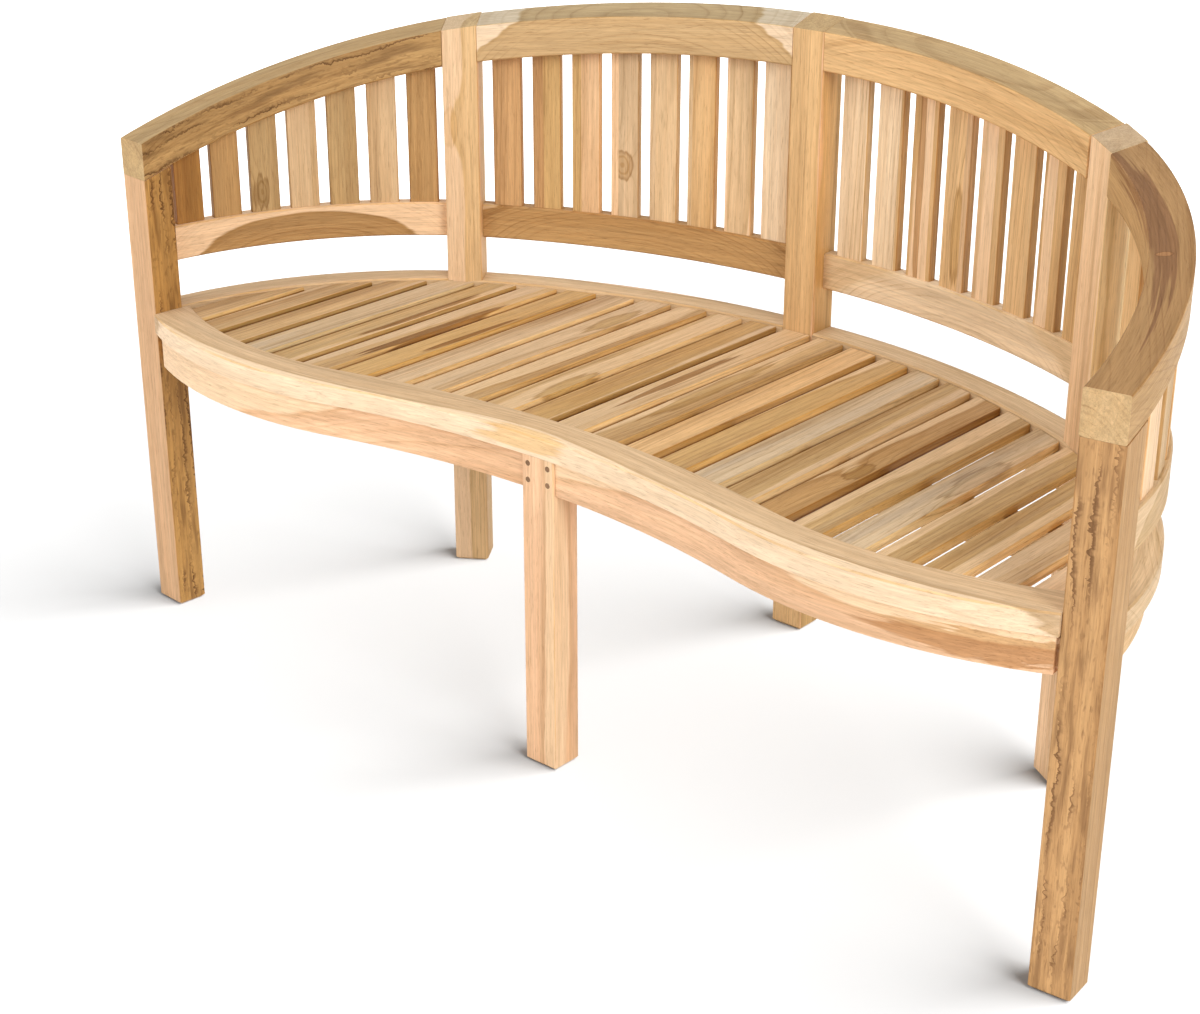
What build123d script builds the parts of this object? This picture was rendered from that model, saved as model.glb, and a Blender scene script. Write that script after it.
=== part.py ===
from build123d import *
import math
import os

# Curved garden bench in solid teak: a round back of two arcs on each side, a wavy seat and six feet.
# Millimetres. Seen from the front, +X is right, +Y is back and +Z is up.
# Angles are degrees from +Y towards +X.

# Plan of the back, measured on its outer face
back_radius = 1016.0
arm_radius = 520.0
rear_post_angle = 30.2
rear_post_turn = 33.4
end_post_angle = 86.0

# Heights above the floor
seat_height = 440.0
arm_height = 682.0
back_height = 851.0
lower_rail_top = 546.0

# Posts and the middle leg, all sawn from one stock
post_width = 49.0
post_depth = 43.0
foot_chamfer = 4.0

# Crest rails and lower back rails
crest_thickness = 50.0
lower_rail_height = 48.0
lower_rail_thickness = 22.0
lower_rail_inset = 2.0

# Upright back slats
back_slat_width = 41.0
back_slat_thickness = 12.0
back_slat_housing = 10.0
rear_bay_slats = 8
arm_bay_slats = 7
arm_bay_end_gap = 24.0

# Wavy front edge of the seat: two lobes and the dip between them
lobe_reach = 79.0
lobe_offset = 460.0
lobe_radius = 560.0
dip_depth = 61.0

# Boards round the seat, rebated on the inside to carry the slats
board_thickness = 26.0
front_board_width = 55.0
rebate_width = 12.0

# Seat slats
seat_slat_count = 25
seat_slat_thickness = 12.0
seat_slat_gap = 13.0
seat_slat_drop = 3.0
seat_slat_end_gap = 0.8
end_slat_margin = 18.0

# Aprons under the boards
apron_height = 43.0
apron_thickness = 22.0
front_apron_setback = 4.0
rear_apron_setback = 12.0
left_apron_end_gap = 18.0
right_apron_end_gap = 4.0

# Rails that carry the slats from below
centre_rail_width = 40.0
bearer_width = 30.0
bearer_height = 40.0
bearer_offset = 180.0

# Joints
tenon_length = 18.0
tenon_shoulder = 5.0
crest_shoulder = 12.0
board_tenon_width = 20.0
board_tongue_width = 14.0
arm_tenon_height = 22.0
leg_tenon_height = 12.0
bearer_tenon_length = 8.0
bearer_tenon_height = 20.0
tenon_wall = 3.0
joint_gap = 0.3
mortise_fit = 0.2

# Pegs through the middle leg into the front aprons
peg_diameter = 7.0
peg_edge = 9.0
peg_top = 10.0
peg_spacing = 21.0
peg_fit = 0.1

# Eased edges
edge_round = 2.5
edge_chamfer = 2.0
slat_round = 2.0
post_round = 1.5
post_top_round = 1.0

# Allowances for cutting bodies, larger than anything that they cut
cut_reach = 200.0
tenon_root = 12.0
lobe_sweep = 40.0
opening_sweep = 110.0

# Sizes that follow from the ones above
back_centre = Vector(0, 0)


def plan_point(centre, radius, angle):
    """Point on an arc seen from above."""
    turn = math.radians(angle)
    return Vector(centre.X + radius * math.sin(turn), centre.Y + radius * math.cos(turn))


rear_post_middle = plan_point(back_centre, back_radius - post_depth / 2, rear_post_angle)
arm_centre = plan_point(rear_post_middle, post_depth / 2 - arm_radius, rear_post_turn)
end_post_middle = plan_point(arm_centre, arm_radius - post_width / 2, end_post_angle)
lobe_front = end_post_middle.Y - lobe_reach
lobe_middle = lobe_front + lobe_radius
dip_radius = (lobe_offset**2 + dip_depth**2) / (2 * dip_depth) - lobe_radius
dip_angle = math.degrees(math.asin(lobe_offset / (lobe_radius + dip_radius)))
dip_middle = lobe_front + dip_depth - dip_radius
leg_middle = Vector(0, lobe_front + dip_depth + post_depth / 2)
crest_slope = (back_height - arm_height) / (back_radius - end_post_middle.Y)
board_bottom = seat_height - board_thickness
slat_bottom = seat_height - seat_slat_drop - seat_slat_thickness
rebate_floor = slat_bottom - joint_gap
apron_top = board_bottom - joint_gap
apron_bottom = apron_top - apron_height
apron_middle = apron_top - apron_height / 2
apron_tenon_height = apron_height - 2 * tenon_shoulder
board_tenon_height = board_thickness - 2 * tenon_shoulder
lower_rail_middle = lower_rail_top - lower_rail_height / 2
lower_rail_inner = lower_rail_inset + lower_rail_thickness
back_slat_inset = lower_rail_inset + lower_rail_thickness / 2
rear_apron_inner = rear_apron_setback + apron_thickness
front_apron_inner = front_apron_setback + apron_thickness
opening_half = arm_centre.X + arm_radius - post_depth - end_slat_margin
seat_slat_pitch = (2 * opening_half + seat_slat_gap) / seat_slat_count
seat_slat_width = seat_slat_pitch - seat_slat_gap
bearer_middle = end_post_middle.Y + bearer_offset
bearer_top = slat_bottom - joint_gap
bearer_bottom = bearer_top - bearer_height
bearer_tenon_middle = (bearer_bottom + apron_top) / 2
front_apron_tenon = post_width - rear_apron_inner + tenon_shoulder - tenon_wall
board_tenon_inset = (post_depth - board_tenon_width) / 2
front_board_tenon = post_width - board_tenon_inset - board_tenon_width - tenon_wall
peg_length = front_apron_inner - tenon_shoulder + tenon_wall / 2
leg_rail_tenon = post_depth - front_apron_inner + tenon_shoulder - tenon_wall
rear_rail_tenon = post_depth - rear_apron_inner + tenon_shoulder - tenon_wall
plan_shift = -(lobe_front + back_radius) / 2


def post_frame(centre, radius, angle):
    """Axes of a post: X along the curve, Y outwards, origin on the floor at its middle."""
    middle = plan_point(centre, radius, angle)
    return Location((middle.X, middle.Y, 0), (0, 0, -angle))


rear_middle_frame = post_frame(back_centre, back_radius - post_depth / 2, 0)
rear_side_frame = post_frame(rear_post_middle, 0, rear_post_turn)
end_frame = post_frame(arm_centre, arm_radius - post_width / 2, end_post_angle)
leg_frame = Location((leg_middle.X, leg_middle.Y, 0))
end_cross_frame = end_frame * Rot(0, 0, 90)


def crest_top(depth):
    """Height of the crest's sloping top at a distance to the back."""
    return arm_height + crest_slope * (depth - end_post_middle.Y)


def slope_slab(lower, upper):
    """Body between two planes that run parallel to the crest's top, at these heights over it."""
    near = end_post_middle.Y - cut_reach
    far = back_radius + cut_reach
    corners = [
        (near, crest_top(near) + lower),
        (far, crest_top(far) + lower),
        (far, crest_top(far) + upper),
        (near, crest_top(near) + upper),
    ]
    side = Plane.YZ * make_face(Polyline(*corners, close=True))
    return extrude(side, amount=back_radius, both=True)


def arc_band(centre, outer, inner, start, stop):
    """Face between two arcs; inner gives the radii at the start, the middle and the stop."""
    middle = (start + stop) / 2
    outer_points = [plan_point(centre, outer, angle) for angle in (start, middle, stop)]
    inner_points = [plan_point(centre, inner[k], angle) for k, angle in enumerate((start, middle, stop))]
    return make_face([
        ThreePointArc(*outer_points),
        Line(outer_points[2], inner_points[2]),
        ThreePointArc(*reversed(inner_points)),
        Line(inner_points[0], outer_points[0]),
    ])


def upright(face, bottom, top):
    """Face on the floor plan, raised to a body between two heights."""
    return Pos(0, 0, bottom) * extrude(face, amount=top - bottom, dir=(0, 0, 1))


def rear_band(outset, inset, bottom, top):
    """Body along the right rear bay, from the middle post's middle into the side post."""
    inner = back_radius - inset
    stop = rear_post_angle + math.degrees(post_width / 4 / back_radius)
    face = arc_band(back_centre, back_radius - outset, [inner] * 3, 0, stop)
    return upright(face, bottom, top)


def arm_band(outset, inset, bottom, top, end_inset=None):
    """Body along the right arm bay, carried past the end post; it may grow deeper to the front."""
    last = inset if end_inset is None else end_inset
    sweep = end_post_angle - rear_post_turn
    stop = end_post_angle + math.degrees(post_width / arm_radius)
    growth = (last - inset) / sweep
    angles = (rear_post_turn, (rear_post_turn + stop) / 2, stop)
    inner = [arm_radius - inset - growth * (angle - rear_post_turn) for angle in angles]
    face = arc_band(arm_centre, arm_radius - outset, inner, rear_post_turn, stop)
    return upright(face, bottom, top)


def lobe_arc(side, setback):
    """One rounded lobe of the seat's front edge, moved back by a distance, from the dip outwards."""
    radius = lobe_radius - setback
    turns = [math.radians(turn) for turn in (-dip_angle, (lobe_sweep - dip_angle) / 2, lobe_sweep)]
    return [
        Vector(side * (lobe_offset + radius * math.sin(turn)), lobe_middle - radius * math.cos(turn))
        for turn in turns
    ]


def lobed_band(front, back):
    """Face between two copies of the seat's wavy front edge, each moved back by a distance."""
    edges = []
    for setback in (front, back):
        left = lobe_arc(-1, setback)
        right = lobe_arc(1, setback)
        edges.append(ThreePointArc(*reversed(left)))
        edges.append(ThreePointArc(left[0], Vector(0, dip_middle + dip_radius + setback), right[0]))
        edges.append(ThreePointArc(*right))
    for side in (-1, 1):
        edges.append(Line(lobe_arc(side, front)[2], lobe_arc(side, back)[2]))
    return make_face(edges)


def tenon(frame, side, reach, across, height, section, length=tenon_length, fit=0.0):
    """Tenon that enters a post from one side; with a fit it is the mortise that takes it."""
    thickness, depth = section
    whole = length + tenon_root + fit
    middle = side * (reach + tenon_root - whole / 2)
    return frame * Pos(middle, across, height) * Box(whole, thickness + 2 * fit, depth + 2 * fit)


def half_space(frame, start):
    """Everything beyond a plane across the frame's X axis."""
    size = 2 * back_radius
    return frame * Pos(start + size / 2, 0, back_height / 2) * Box(size, 2 * size, 2 * back_height)


def post_hole(frame):
    """Room that a rear post takes out of the boards which meet it."""
    size = (post_width + 2 * joint_gap, cut_reach, 2 * back_height)
    return frame * Pos(0, (cut_reach - post_depth) / 2 - joint_gap, 0) * Box(*size)


def post_slot(frame):
    """Room that a post takes out of a rail which stops against it."""
    return frame * Box(post_width + 2 * joint_gap, 2 * cut_reach, 2 * back_height)


def eased(body, radius=edge_round):
    """Body with its long curved edges rounded."""
    curved = body.edges().filter_by(lambda edge: edge.geom_type != GeomType.LINE)
    return fillet(curved, radius)


def chamfered(body):
    """Body with its long curved edges chamfered."""
    curved = body.edges().filter_by(lambda edge: edge.geom_type != GeomType.LINE)
    return chamfer(curved, edge_chamfer)


def chamfered_top(body):
    """Board with the long edges of its top face chamfered."""
    top = body.faces().sort_by(Axis.Z)[-1]
    return chamfer(top.edges().filter_by(lambda edge: edge.geom_type != GeomType.LINE), edge_chamfer)


def column(frame, width, depth, top):
    """Post with eased upright edges and a chamfered foot."""
    sole = RectangleRounded(width - 2 * foot_chamfer, depth - 2 * foot_chamfer, post_round)
    section = Pos(0, 0, foot_chamfer) * RectangleRounded(width, depth, post_round)
    body = loft([sole, section], ruled=True) + extrude(section, amount=top - foot_chamfer, dir=(0, 0, 1))
    return frame * body


def crest_tenon(frame, side, fit=0.0):
    """Tenon of a crest rail in a rear post."""
    shoulder = (frame * Pos(side * post_width / 2, 0, 0)).position
    middle = crest_top(shoulder.Y) - crest_thickness / 2
    section = (post_depth - 2 * crest_shoulder, crest_thickness - 2 * crest_shoulder)
    return tenon(frame, side, post_width / 2, 0, middle, section, fit=fit)


def lower_tenon(frame, side, reach, outer, fit=0.0):
    """Tenon of a lower back rail."""
    section = (lower_rail_thickness - 2 * tenon_shoulder, lower_rail_height - 2 * tenon_shoulder)
    return tenon(frame, side, reach, outer - back_slat_inset, lower_rail_middle, section, fit=fit)


def board_tenon(frame, side, reach, outer, fit=0.0):
    """Tenon of a side or rear seat board."""
    across = outer - board_tenon_inset - board_tenon_width / 2
    height = board_bottom + board_thickness / 2
    return tenon(frame, side, reach, across, height, (board_tenon_width, board_tenon_height), fit=fit)


def apron_tenon(frame, side, reach, outer, fit=0.0):
    """Tenon of a side or rear apron."""
    across = outer - rear_apron_setback - apron_thickness / 2
    section = (apron_thickness - 2 * tenon_shoulder, apron_tenon_height)
    return tenon(frame, side, reach, across, apron_middle, section, fit=fit)


def rail_tenons(frame, side, reach, outer, fit=0.0):
    """Lower rail, board and apron tenons on one side of a post."""
    return [
        lower_tenon(frame, side, reach, outer, fit),
        board_tenon(frame, side, reach, outer, fit),
        apron_tenon(frame, side, reach, outer, fit),
    ]


def rail_socket(frame, side, reach, length, fit=0.0):
    """Tenon of the centre rail, in the frame of the post that it enters."""
    section = (centre_rail_width - 2 * tenon_shoulder, apron_tenon_height)
    return tenon(frame * Rot(0, 0, 90), side, reach, 0, apron_middle, section, length, fit)


def front_tongue(setback, section, length, middle, fit=0.0):
    """Tongue of the front board or apron that follows the seat's curve into the right end post."""
    width, height = section
    band = lobed_band(setback - fit, setback + width + fit)
    body = upright(band, middle - height / 2 - fit, middle + height / 2 + fit)
    start = -post_width / 2 - left_apron_end_gap - tenon_root
    stop = -post_width / 2 + length + fit
    body &= half_space(end_cross_frame, start)
    return body - half_space(end_cross_frame, stop)


def board_tongue(fit=0.0):
    """Tongue of the front board in the right end post."""
    middle = board_bottom + board_thickness / 2
    section = (board_tongue_width, board_tenon_height)
    return front_tongue(board_tenon_inset, section, front_board_tenon, middle, fit)


def apron_tongue(fit=0.0):
    """Tongue of the right front apron in the right end post."""
    setback = front_apron_setback + tenon_shoulder
    section = (apron_thickness - 2 * tenon_shoulder, apron_tenon_height)
    return front_tongue(setback, section, front_apron_tenon, apron_middle, fit)


def leg_apron_tenon(side, fit=0.0):
    """Tenon of a front apron in the middle leg."""
    across = front_apron_setback + apron_thickness / 2 - post_depth / 2
    section = (apron_thickness - 2 * tenon_shoulder, apron_tenon_height)
    return tenon(leg_frame, side, post_width / 2, across, apron_middle, section, fit=fit)


def mirrored(body):
    """Left-hand copy of a right-hand piece."""
    return mirror(body, about=Plane.YZ)


def both_sides(body):
    """Right-hand body and its left-hand copy."""
    return [body, mirrored(body)]


def peg_places():
    """Middles of the pegs on the front face of the middle leg."""
    along = post_width / 2 - peg_edge
    heights = (apron_top - peg_top, apron_top - peg_top - peg_spacing)
    return [(side * along, height) for side in (-1, 1) for height in heights]


def peg(place, fit=0.0):
    """Peg from the front face of the middle leg inwards; with a fit it is the peg's hole."""
    along, height = place
    whole = peg_length + fit
    body = Cylinder(peg_diameter / 2 + fit, whole, rotation=(90, 0, 0))
    return Pos(along, leg_middle.Y - post_depth / 2 + whole / 2, height) * body


def bay_slats(centre, radius, start, gap, count):
    """Frames of the upright slats of a bay, spaced by a gap from the post at the starting angle."""
    step = math.degrees((back_slat_width + gap) / radius)
    first = start + math.degrees((gap + back_slat_width / 2) / radius)
    return [post_frame(centre, radius, first + k * step) for k in range(count)]


def back_slat(frame, fit=0.0):
    """Upright slat, let into the lower rail and the crest; with a fit it is the room that it takes."""
    bottom = lower_rail_top - back_slat_housing - fit
    top = crest_top(frame.position.Y) - crest_thickness + back_slat_housing + fit
    body = Box(back_slat_width + 2 * fit, back_slat_thickness + 2 * fit, top - bottom)
    body = fillet(body.edges().filter_by(Axis.Z), slat_round)
    return frame * Pos(0, 0, (bottom + top) / 2) * body


rear_slat_radius = back_radius - back_slat_inset
arm_slat_radius = arm_radius - back_slat_inset
rear_post_half = math.degrees(math.asin(post_width / 2 / rear_slat_radius))
arm_start_half = math.degrees(math.asin(post_width / 2 / arm_slat_radius))
arm_end_half = math.degrees(math.asin(post_depth / 2 / arm_slat_radius))
rear_bay_span = math.radians(rear_post_angle - 2 * rear_post_half) * rear_slat_radius
rear_bay_gap = (rear_bay_span - rear_bay_slats * back_slat_width) / (rear_bay_slats + 1)
rear_slat_frames = bay_slats(back_centre, rear_slat_radius, rear_post_half, rear_bay_gap, rear_bay_slats)
arm_first_angle = rear_post_turn + arm_start_half
arm_bay_span = math.radians(end_post_angle - arm_end_half - arm_first_angle) * arm_slat_radius
arm_bay_gap = (arm_bay_span - arm_bay_end_gap - arm_bay_slats * back_slat_width) / arm_bay_slats
arm_slat_frames = bay_slats(arm_centre, arm_slat_radius, arm_first_angle, arm_bay_gap, arm_bay_slats)
crest_band_floor = lower_rail_top
crest_band_top = 2 * back_height
crest_slab = slope_slab(-crest_thickness, 0)


def slat_rooms(frames):
    """Mortises for a bay's upright slats."""
    return [back_slat(frame, mortise_fit) for frame in frames]


def make_rear_post(frame, sides):
    """Full-height rear post, cut flush with the sloping crest."""
    body = column(frame, post_width, post_depth, crest_band_top)
    body &= slope_slab(-crest_band_top, 0)
    top = body.faces().sort_by(Axis.Z)[-1]
    body = fillet(top.edges(), post_top_round)
    for side in sides:
        body -= crest_tenon(frame, side, mortise_fit)
        body -= rail_tenons(frame, side, post_width / 2, post_depth / 2, mortise_fit)
    return body


def make_rear_middle_post():
    """Rear middle post, which also takes the centre rail."""
    body = make_rear_post(rear_middle_frame, (-1, 1))
    return body - rail_socket(rear_middle_frame, -1, post_depth / 2, rear_rail_tenon, mortise_fit)


def arm_tenon(fit=0.0):
    """Tenon on top of the right end post, up into the arm."""
    middle = end_post_middle.Y
    bottom = crest_top(middle) - crest_thickness - tenon_root
    top = crest_top(middle) - crest_thickness + arm_tenon_height + fit
    size = (post_depth - 2 * crest_shoulder + 2 * fit, post_width - 2 * crest_shoulder + 2 * fit)
    return end_frame * Pos(0, 0, (bottom + top) / 2) * Box(*size, top - bottom)


def make_end_post():
    """Right end post: the arm lies on its sloping top."""
    body = column(end_frame, post_depth, post_width, crest_band_top)
    body &= slope_slab(-crest_band_top, -crest_thickness - joint_gap)
    body -= rail_tenons(end_frame, -1, post_depth / 2, post_width / 2, mortise_fit)
    body -= board_tongue(mortise_fit)
    body -= apron_tongue(mortise_fit)
    return body + arm_tenon()


def make_front_leg():
    """Middle leg under the front board, with a stub tenon up into the board."""
    body = column(leg_frame, post_width, post_depth, apron_top)
    for side in (-1, 1):
        body -= leg_apron_tenon(side, mortise_fit)
    body -= rail_socket(leg_frame, 1, post_depth / 2, leg_rail_tenon, mortise_fit)
    body -= [peg(place, peg_fit) for place in peg_places()]
    return body + leg_tenon()


def leg_tenon(fit=0.0):
    """Stub tenon on top of the middle leg."""
    bottom = apron_top - tenon_wall
    top = board_bottom + leg_tenon_height + fit
    size = (post_width - 2 * crest_shoulder + 2 * fit, post_depth - 2 * crest_shoulder + 2 * fit)
    return leg_frame * Pos(0, 0, (bottom + top) / 2) * Box(*size, top - bottom)


def make_rear_crest():
    """Right rear crest rail, between the middle post and the side post."""
    body = eased(rear_band(0, post_depth, crest_band_floor, crest_band_top) & crest_slab)
    body -= [post_slot(rear_middle_frame), post_slot(rear_side_frame)]
    body += [crest_tenon(rear_middle_frame, 1), crest_tenon(rear_side_frame, -1)]
    return body - slat_rooms(rear_slat_frames)


def make_arm_crest():
    """Right arm: it grows wider to the front and ends flush over the end post."""
    band = arm_band(0, post_depth, crest_band_floor, crest_band_top, post_width)
    body = eased(band & crest_slab)
    body -= [post_slot(rear_side_frame), half_space(end_frame, post_depth / 2)]
    body += crest_tenon(rear_side_frame, 1)
    body -= arm_tenon(mortise_fit)
    return body - slat_rooms(arm_slat_frames)


def make_rear_lower_rail():
    """Right rear lower rail."""
    bottom = lower_rail_top - lower_rail_height
    body = chamfered(rear_band(lower_rail_inset, lower_rail_inner, bottom, lower_rail_top))
    body -= [post_slot(rear_middle_frame), post_slot(rear_side_frame)]
    body += lower_tenon(rear_middle_frame, 1, post_width / 2, post_depth / 2)
    body += lower_tenon(rear_side_frame, -1, post_width / 2, post_depth / 2)
    return body - slat_rooms(rear_slat_frames)


def make_arm_lower_rail():
    """Right arm lower rail."""
    bottom = lower_rail_top - lower_rail_height
    body = chamfered(arm_band(lower_rail_inset, lower_rail_inner, bottom, lower_rail_top))
    body -= [post_slot(rear_side_frame), half_space(end_frame, -post_depth / 2 - joint_gap)]
    body += lower_tenon(rear_side_frame, 1, post_width / 2, post_depth / 2)
    body += lower_tenon(end_frame, -1, post_depth / 2, post_width / 2)
    return body - slat_rooms(arm_slat_frames)


def front_board_shape(gap=0.0):
    """Front board between the end posts, or with a gap the room that it takes."""
    lip = front_board_width + rebate_width
    body = upright(lobed_band(-gap, lip + gap), board_bottom - gap, seat_height + gap)
    rebate = lobed_band(front_board_width + gap, lip + rebate_width)
    body -= upright(rebate, rebate_floor + gap, seat_height + board_thickness)
    ends = half_space(end_cross_frame, gap - joint_gap - post_width / 2)
    return body - both_sides(ends)


def side_board_shape(band, gap=0.0):
    """Side or rear board along a bay, or with a gap the room that it takes."""
    lip = post_depth + rebate_width
    body = band(-gap, lip + gap, board_bottom - gap, seat_height + gap)
    return body - band(post_depth + gap, lip + rebate_width, rebate_floor + gap, seat_height + board_thickness)


def make_front_board():
    """Wavy front board, tenoned into both end posts and resting on the middle leg."""
    body = chamfered_top(front_board_shape())
    body += both_sides(board_tongue())
    return body - leg_tenon(mortise_fit)


def make_rear_board():
    """Right rear seat board, notched round the posts."""
    body = chamfered_top(side_board_shape(rear_band))
    body -= [post_hole(rear_middle_frame), post_hole(rear_side_frame)]
    body -= half_space(rear_middle_frame * Rot(0, 0, 180), -joint_gap)
    body -= half_space(rear_side_frame, -joint_gap)
    body += board_tenon(rear_middle_frame, 1, post_width / 2, post_depth / 2)
    return body + board_tenon(rear_side_frame, -1, post_width / 2, post_depth / 2)


def make_side_board():
    """Right side seat board, from the rear side post to the end post and the front board."""
    body = chamfered_top(side_board_shape(arm_band))
    body -= post_hole(rear_side_frame)
    body -= half_space(rear_side_frame * Rot(0, 0, 180), -joint_gap)
    body -= half_space(end_frame, -post_depth / 2 - joint_gap)
    body -= front_board_shape(joint_gap)
    body += board_tenon(rear_side_frame, 1, post_width / 2, post_depth / 2)
    return body + board_tenon(end_frame, -1, post_depth / 2, post_width / 2)


def make_front_apron(end_gap):
    """Right front apron, pegged into the middle leg; its outer end stops short of the end post."""
    band = lobed_band(front_apron_setback, front_apron_inner)
    body = upright(band, apron_bottom, apron_top)
    body -= half_space(leg_frame * Rot(0, 0, 180), -post_width / 2 - joint_gap)
    body -= half_space(end_cross_frame, -post_width / 2 - end_gap)
    body += leg_apron_tenon(1)
    body += apron_tongue()
    return body - [peg(place, peg_fit) for place in peg_places()]


def bearer_reach():
    """Distance of the side apron's inner face from the middle, where the bearer meets it."""
    inner = arm_radius - rear_apron_inner
    return arm_centre.X + math.sqrt(inner**2 - (bearer_middle - arm_centre.Y) ** 2)


def bearer_tenon(start, fit=0.0):
    """Stub tenon of the right slat bearer, reaching one tenon length past this distance."""
    width = bearer_width - 2 * tenon_shoulder + 2 * fit
    height = bearer_tenon_height + 2 * fit
    whole = bearer_tenon_length + tenon_root + fit
    middle = start + bearer_tenon_length + fit - whole / 2
    return Pos(middle, bearer_middle, bearer_tenon_middle) * Box(whole, width, height)


def inner_bearer_tenon(fit=0.0):
    """Stub tenon of the right slat bearer in the centre rail."""
    return mirrored(bearer_tenon(-centre_rail_width / 2, fit))


def make_rear_apron():
    """Right rear apron."""
    body = rear_band(rear_apron_setback, rear_apron_inner, apron_bottom, apron_top)
    body -= [post_slot(rear_middle_frame), post_slot(rear_side_frame)]
    body += apron_tenon(rear_middle_frame, 1, post_width / 2, post_depth / 2)
    return body + apron_tenon(rear_side_frame, -1, post_width / 2, post_depth / 2)


def make_side_apron():
    """Right side apron, which takes the outer end of the slat bearer."""
    body = arm_band(rear_apron_setback, rear_apron_inner, apron_bottom, apron_top)
    body -= [post_slot(rear_side_frame), half_space(end_frame, -post_depth / 2 - joint_gap)]
    body += apron_tenon(rear_side_frame, 1, post_width / 2, post_depth / 2)
    body += apron_tenon(end_frame, -1, post_depth / 2, post_width / 2)
    return body - bearer_tenon(bearer_reach(), mortise_fit)


def make_centre_rail():
    """Rail from the middle leg to the rear middle post, notched under the boards."""
    front = leg_middle.Y + post_depth / 2 + joint_gap
    back = back_radius - post_depth - joint_gap
    size = (centre_rail_width, back - front, bearer_top - apron_bottom)
    body = Pos(0, (front + back) / 2, (apron_bottom + bearer_top) / 2) * Box(*size)
    body -= front_board_shape(joint_gap)
    body -= both_sides(side_board_shape(rear_band, joint_gap))
    body += rail_socket(leg_frame, 1, post_depth / 2, leg_rail_tenon)
    body += rail_socket(rear_middle_frame, -1, post_depth / 2, rear_rail_tenon)
    return body - both_sides(inner_bearer_tenon(mortise_fit))


def make_bearer():
    """Right slat bearer, from the centre rail to the side apron."""
    start = centre_rail_width / 2 + joint_gap
    stop = arm_centre.X + arm_radius
    size = (stop - start, bearer_width, bearer_height)
    body = Pos((start + stop) / 2, bearer_middle, (bearer_bottom + bearer_top) / 2) * Box(*size)
    body -= arm_band(-cut_reach, rear_apron_inner + joint_gap, 0, seat_height)
    body -= side_board_shape(arm_band, joint_gap)
    body += inner_bearer_tenon()
    return body + bearer_tenon(bearer_reach())


def seat_opening():
    """Face that the seat slats fill, clear of the boards round it."""
    inset = post_depth + seat_slat_end_gap
    arm_angles = (opening_sweep, (opening_sweep + rear_post_turn) / 2, rear_post_turn)
    right = [plan_point(arm_centre, arm_radius - inset, angle) for angle in arm_angles]
    left = [Vector(-point.X, point.Y) for point in right]
    back = Vector(0, back_radius - inset)
    face = make_face([
        ThreePointArc(*right),
        ThreePointArc(right[2], back, left[2]),
        ThreePointArc(*reversed(left)),
        Line(left[0], right[0]),
    ])
    return face - lobed_band(-2 * cut_reach, front_board_width + seat_slat_end_gap)


def make_seat_slat(opening, place):
    """Seat slat at a distance from the middle, its ends cut to the boards' curves."""
    length = 2 * back_radius
    strip = Box(seat_slat_width, length, seat_slat_thickness)
    strip = fillet(strip.edges().filter_by(Axis.Y), slat_round)
    return opening & (Pos(place, length / 2, slat_bottom + seat_slat_thickness / 2) * strip)


def make_pairs():
    """Right-hand pieces that have a mirrored partner on the left."""
    return {
        "end_post": make_end_post(),
        "rear_post": make_rear_post(rear_side_frame, (-1, 1)),
        "arm_crest": make_arm_crest(),
        "rear_crest": make_rear_crest(),
        "arm_lower_rail": make_arm_lower_rail(),
        "rear_lower_rail": make_rear_lower_rail(),
        "arm_back_slats": Compound(children=[back_slat(frame) for frame in arm_slat_frames]),
        "rear_back_slats": Compound(children=[back_slat(frame) for frame in rear_slat_frames]),
        "side_seat_board": make_side_board(),
        "rear_seat_board": make_rear_board(),
        "side_apron": make_side_apron(),
        "rear_apron": make_rear_apron(),
        "slat_bearer": make_bearer(),
    }


def make_pieces():
    """Every piece of the bench by name."""
    pieces = {
        "rear_post_middle": make_rear_middle_post(),
        "front_leg": make_front_leg(),
        "front_seat_board": make_front_board(),
        "front_apron_right": make_front_apron(right_apron_end_gap),
        "front_apron_left": mirrored(make_front_apron(left_apron_end_gap)),
        "centre_rail": make_centre_rail(),
        "leg_pegs": Compound(children=[peg(place) for place in peg_places()]),
    }
    for name, body in make_pairs().items():
        pieces[name + "_right"] = body
        pieces[name + "_left"] = mirrored(body)
    opening = upright(seat_opening(), 0, seat_height)
    for k in range(seat_slat_count):
        place = (k - (seat_slat_count - 1) / 2) * seat_slat_pitch
        pieces[f"seat_slat_{k + 1:02d}"] = make_seat_slat(opening, place)
    return pieces


os.makedirs("parts", exist_ok=True)
for node, piece in make_pieces().items():
    export_step(Pos(0, plan_shift, 0) * piece, f"parts/{node}.step")
print(f"seat slat width {seat_slat_width:.1f}, pitch {seat_slat_pitch:.1f}, crest slope {crest_slope:.4f}")
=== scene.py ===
import math

import bpy
from mathutils import Matrix, Vector


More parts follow.
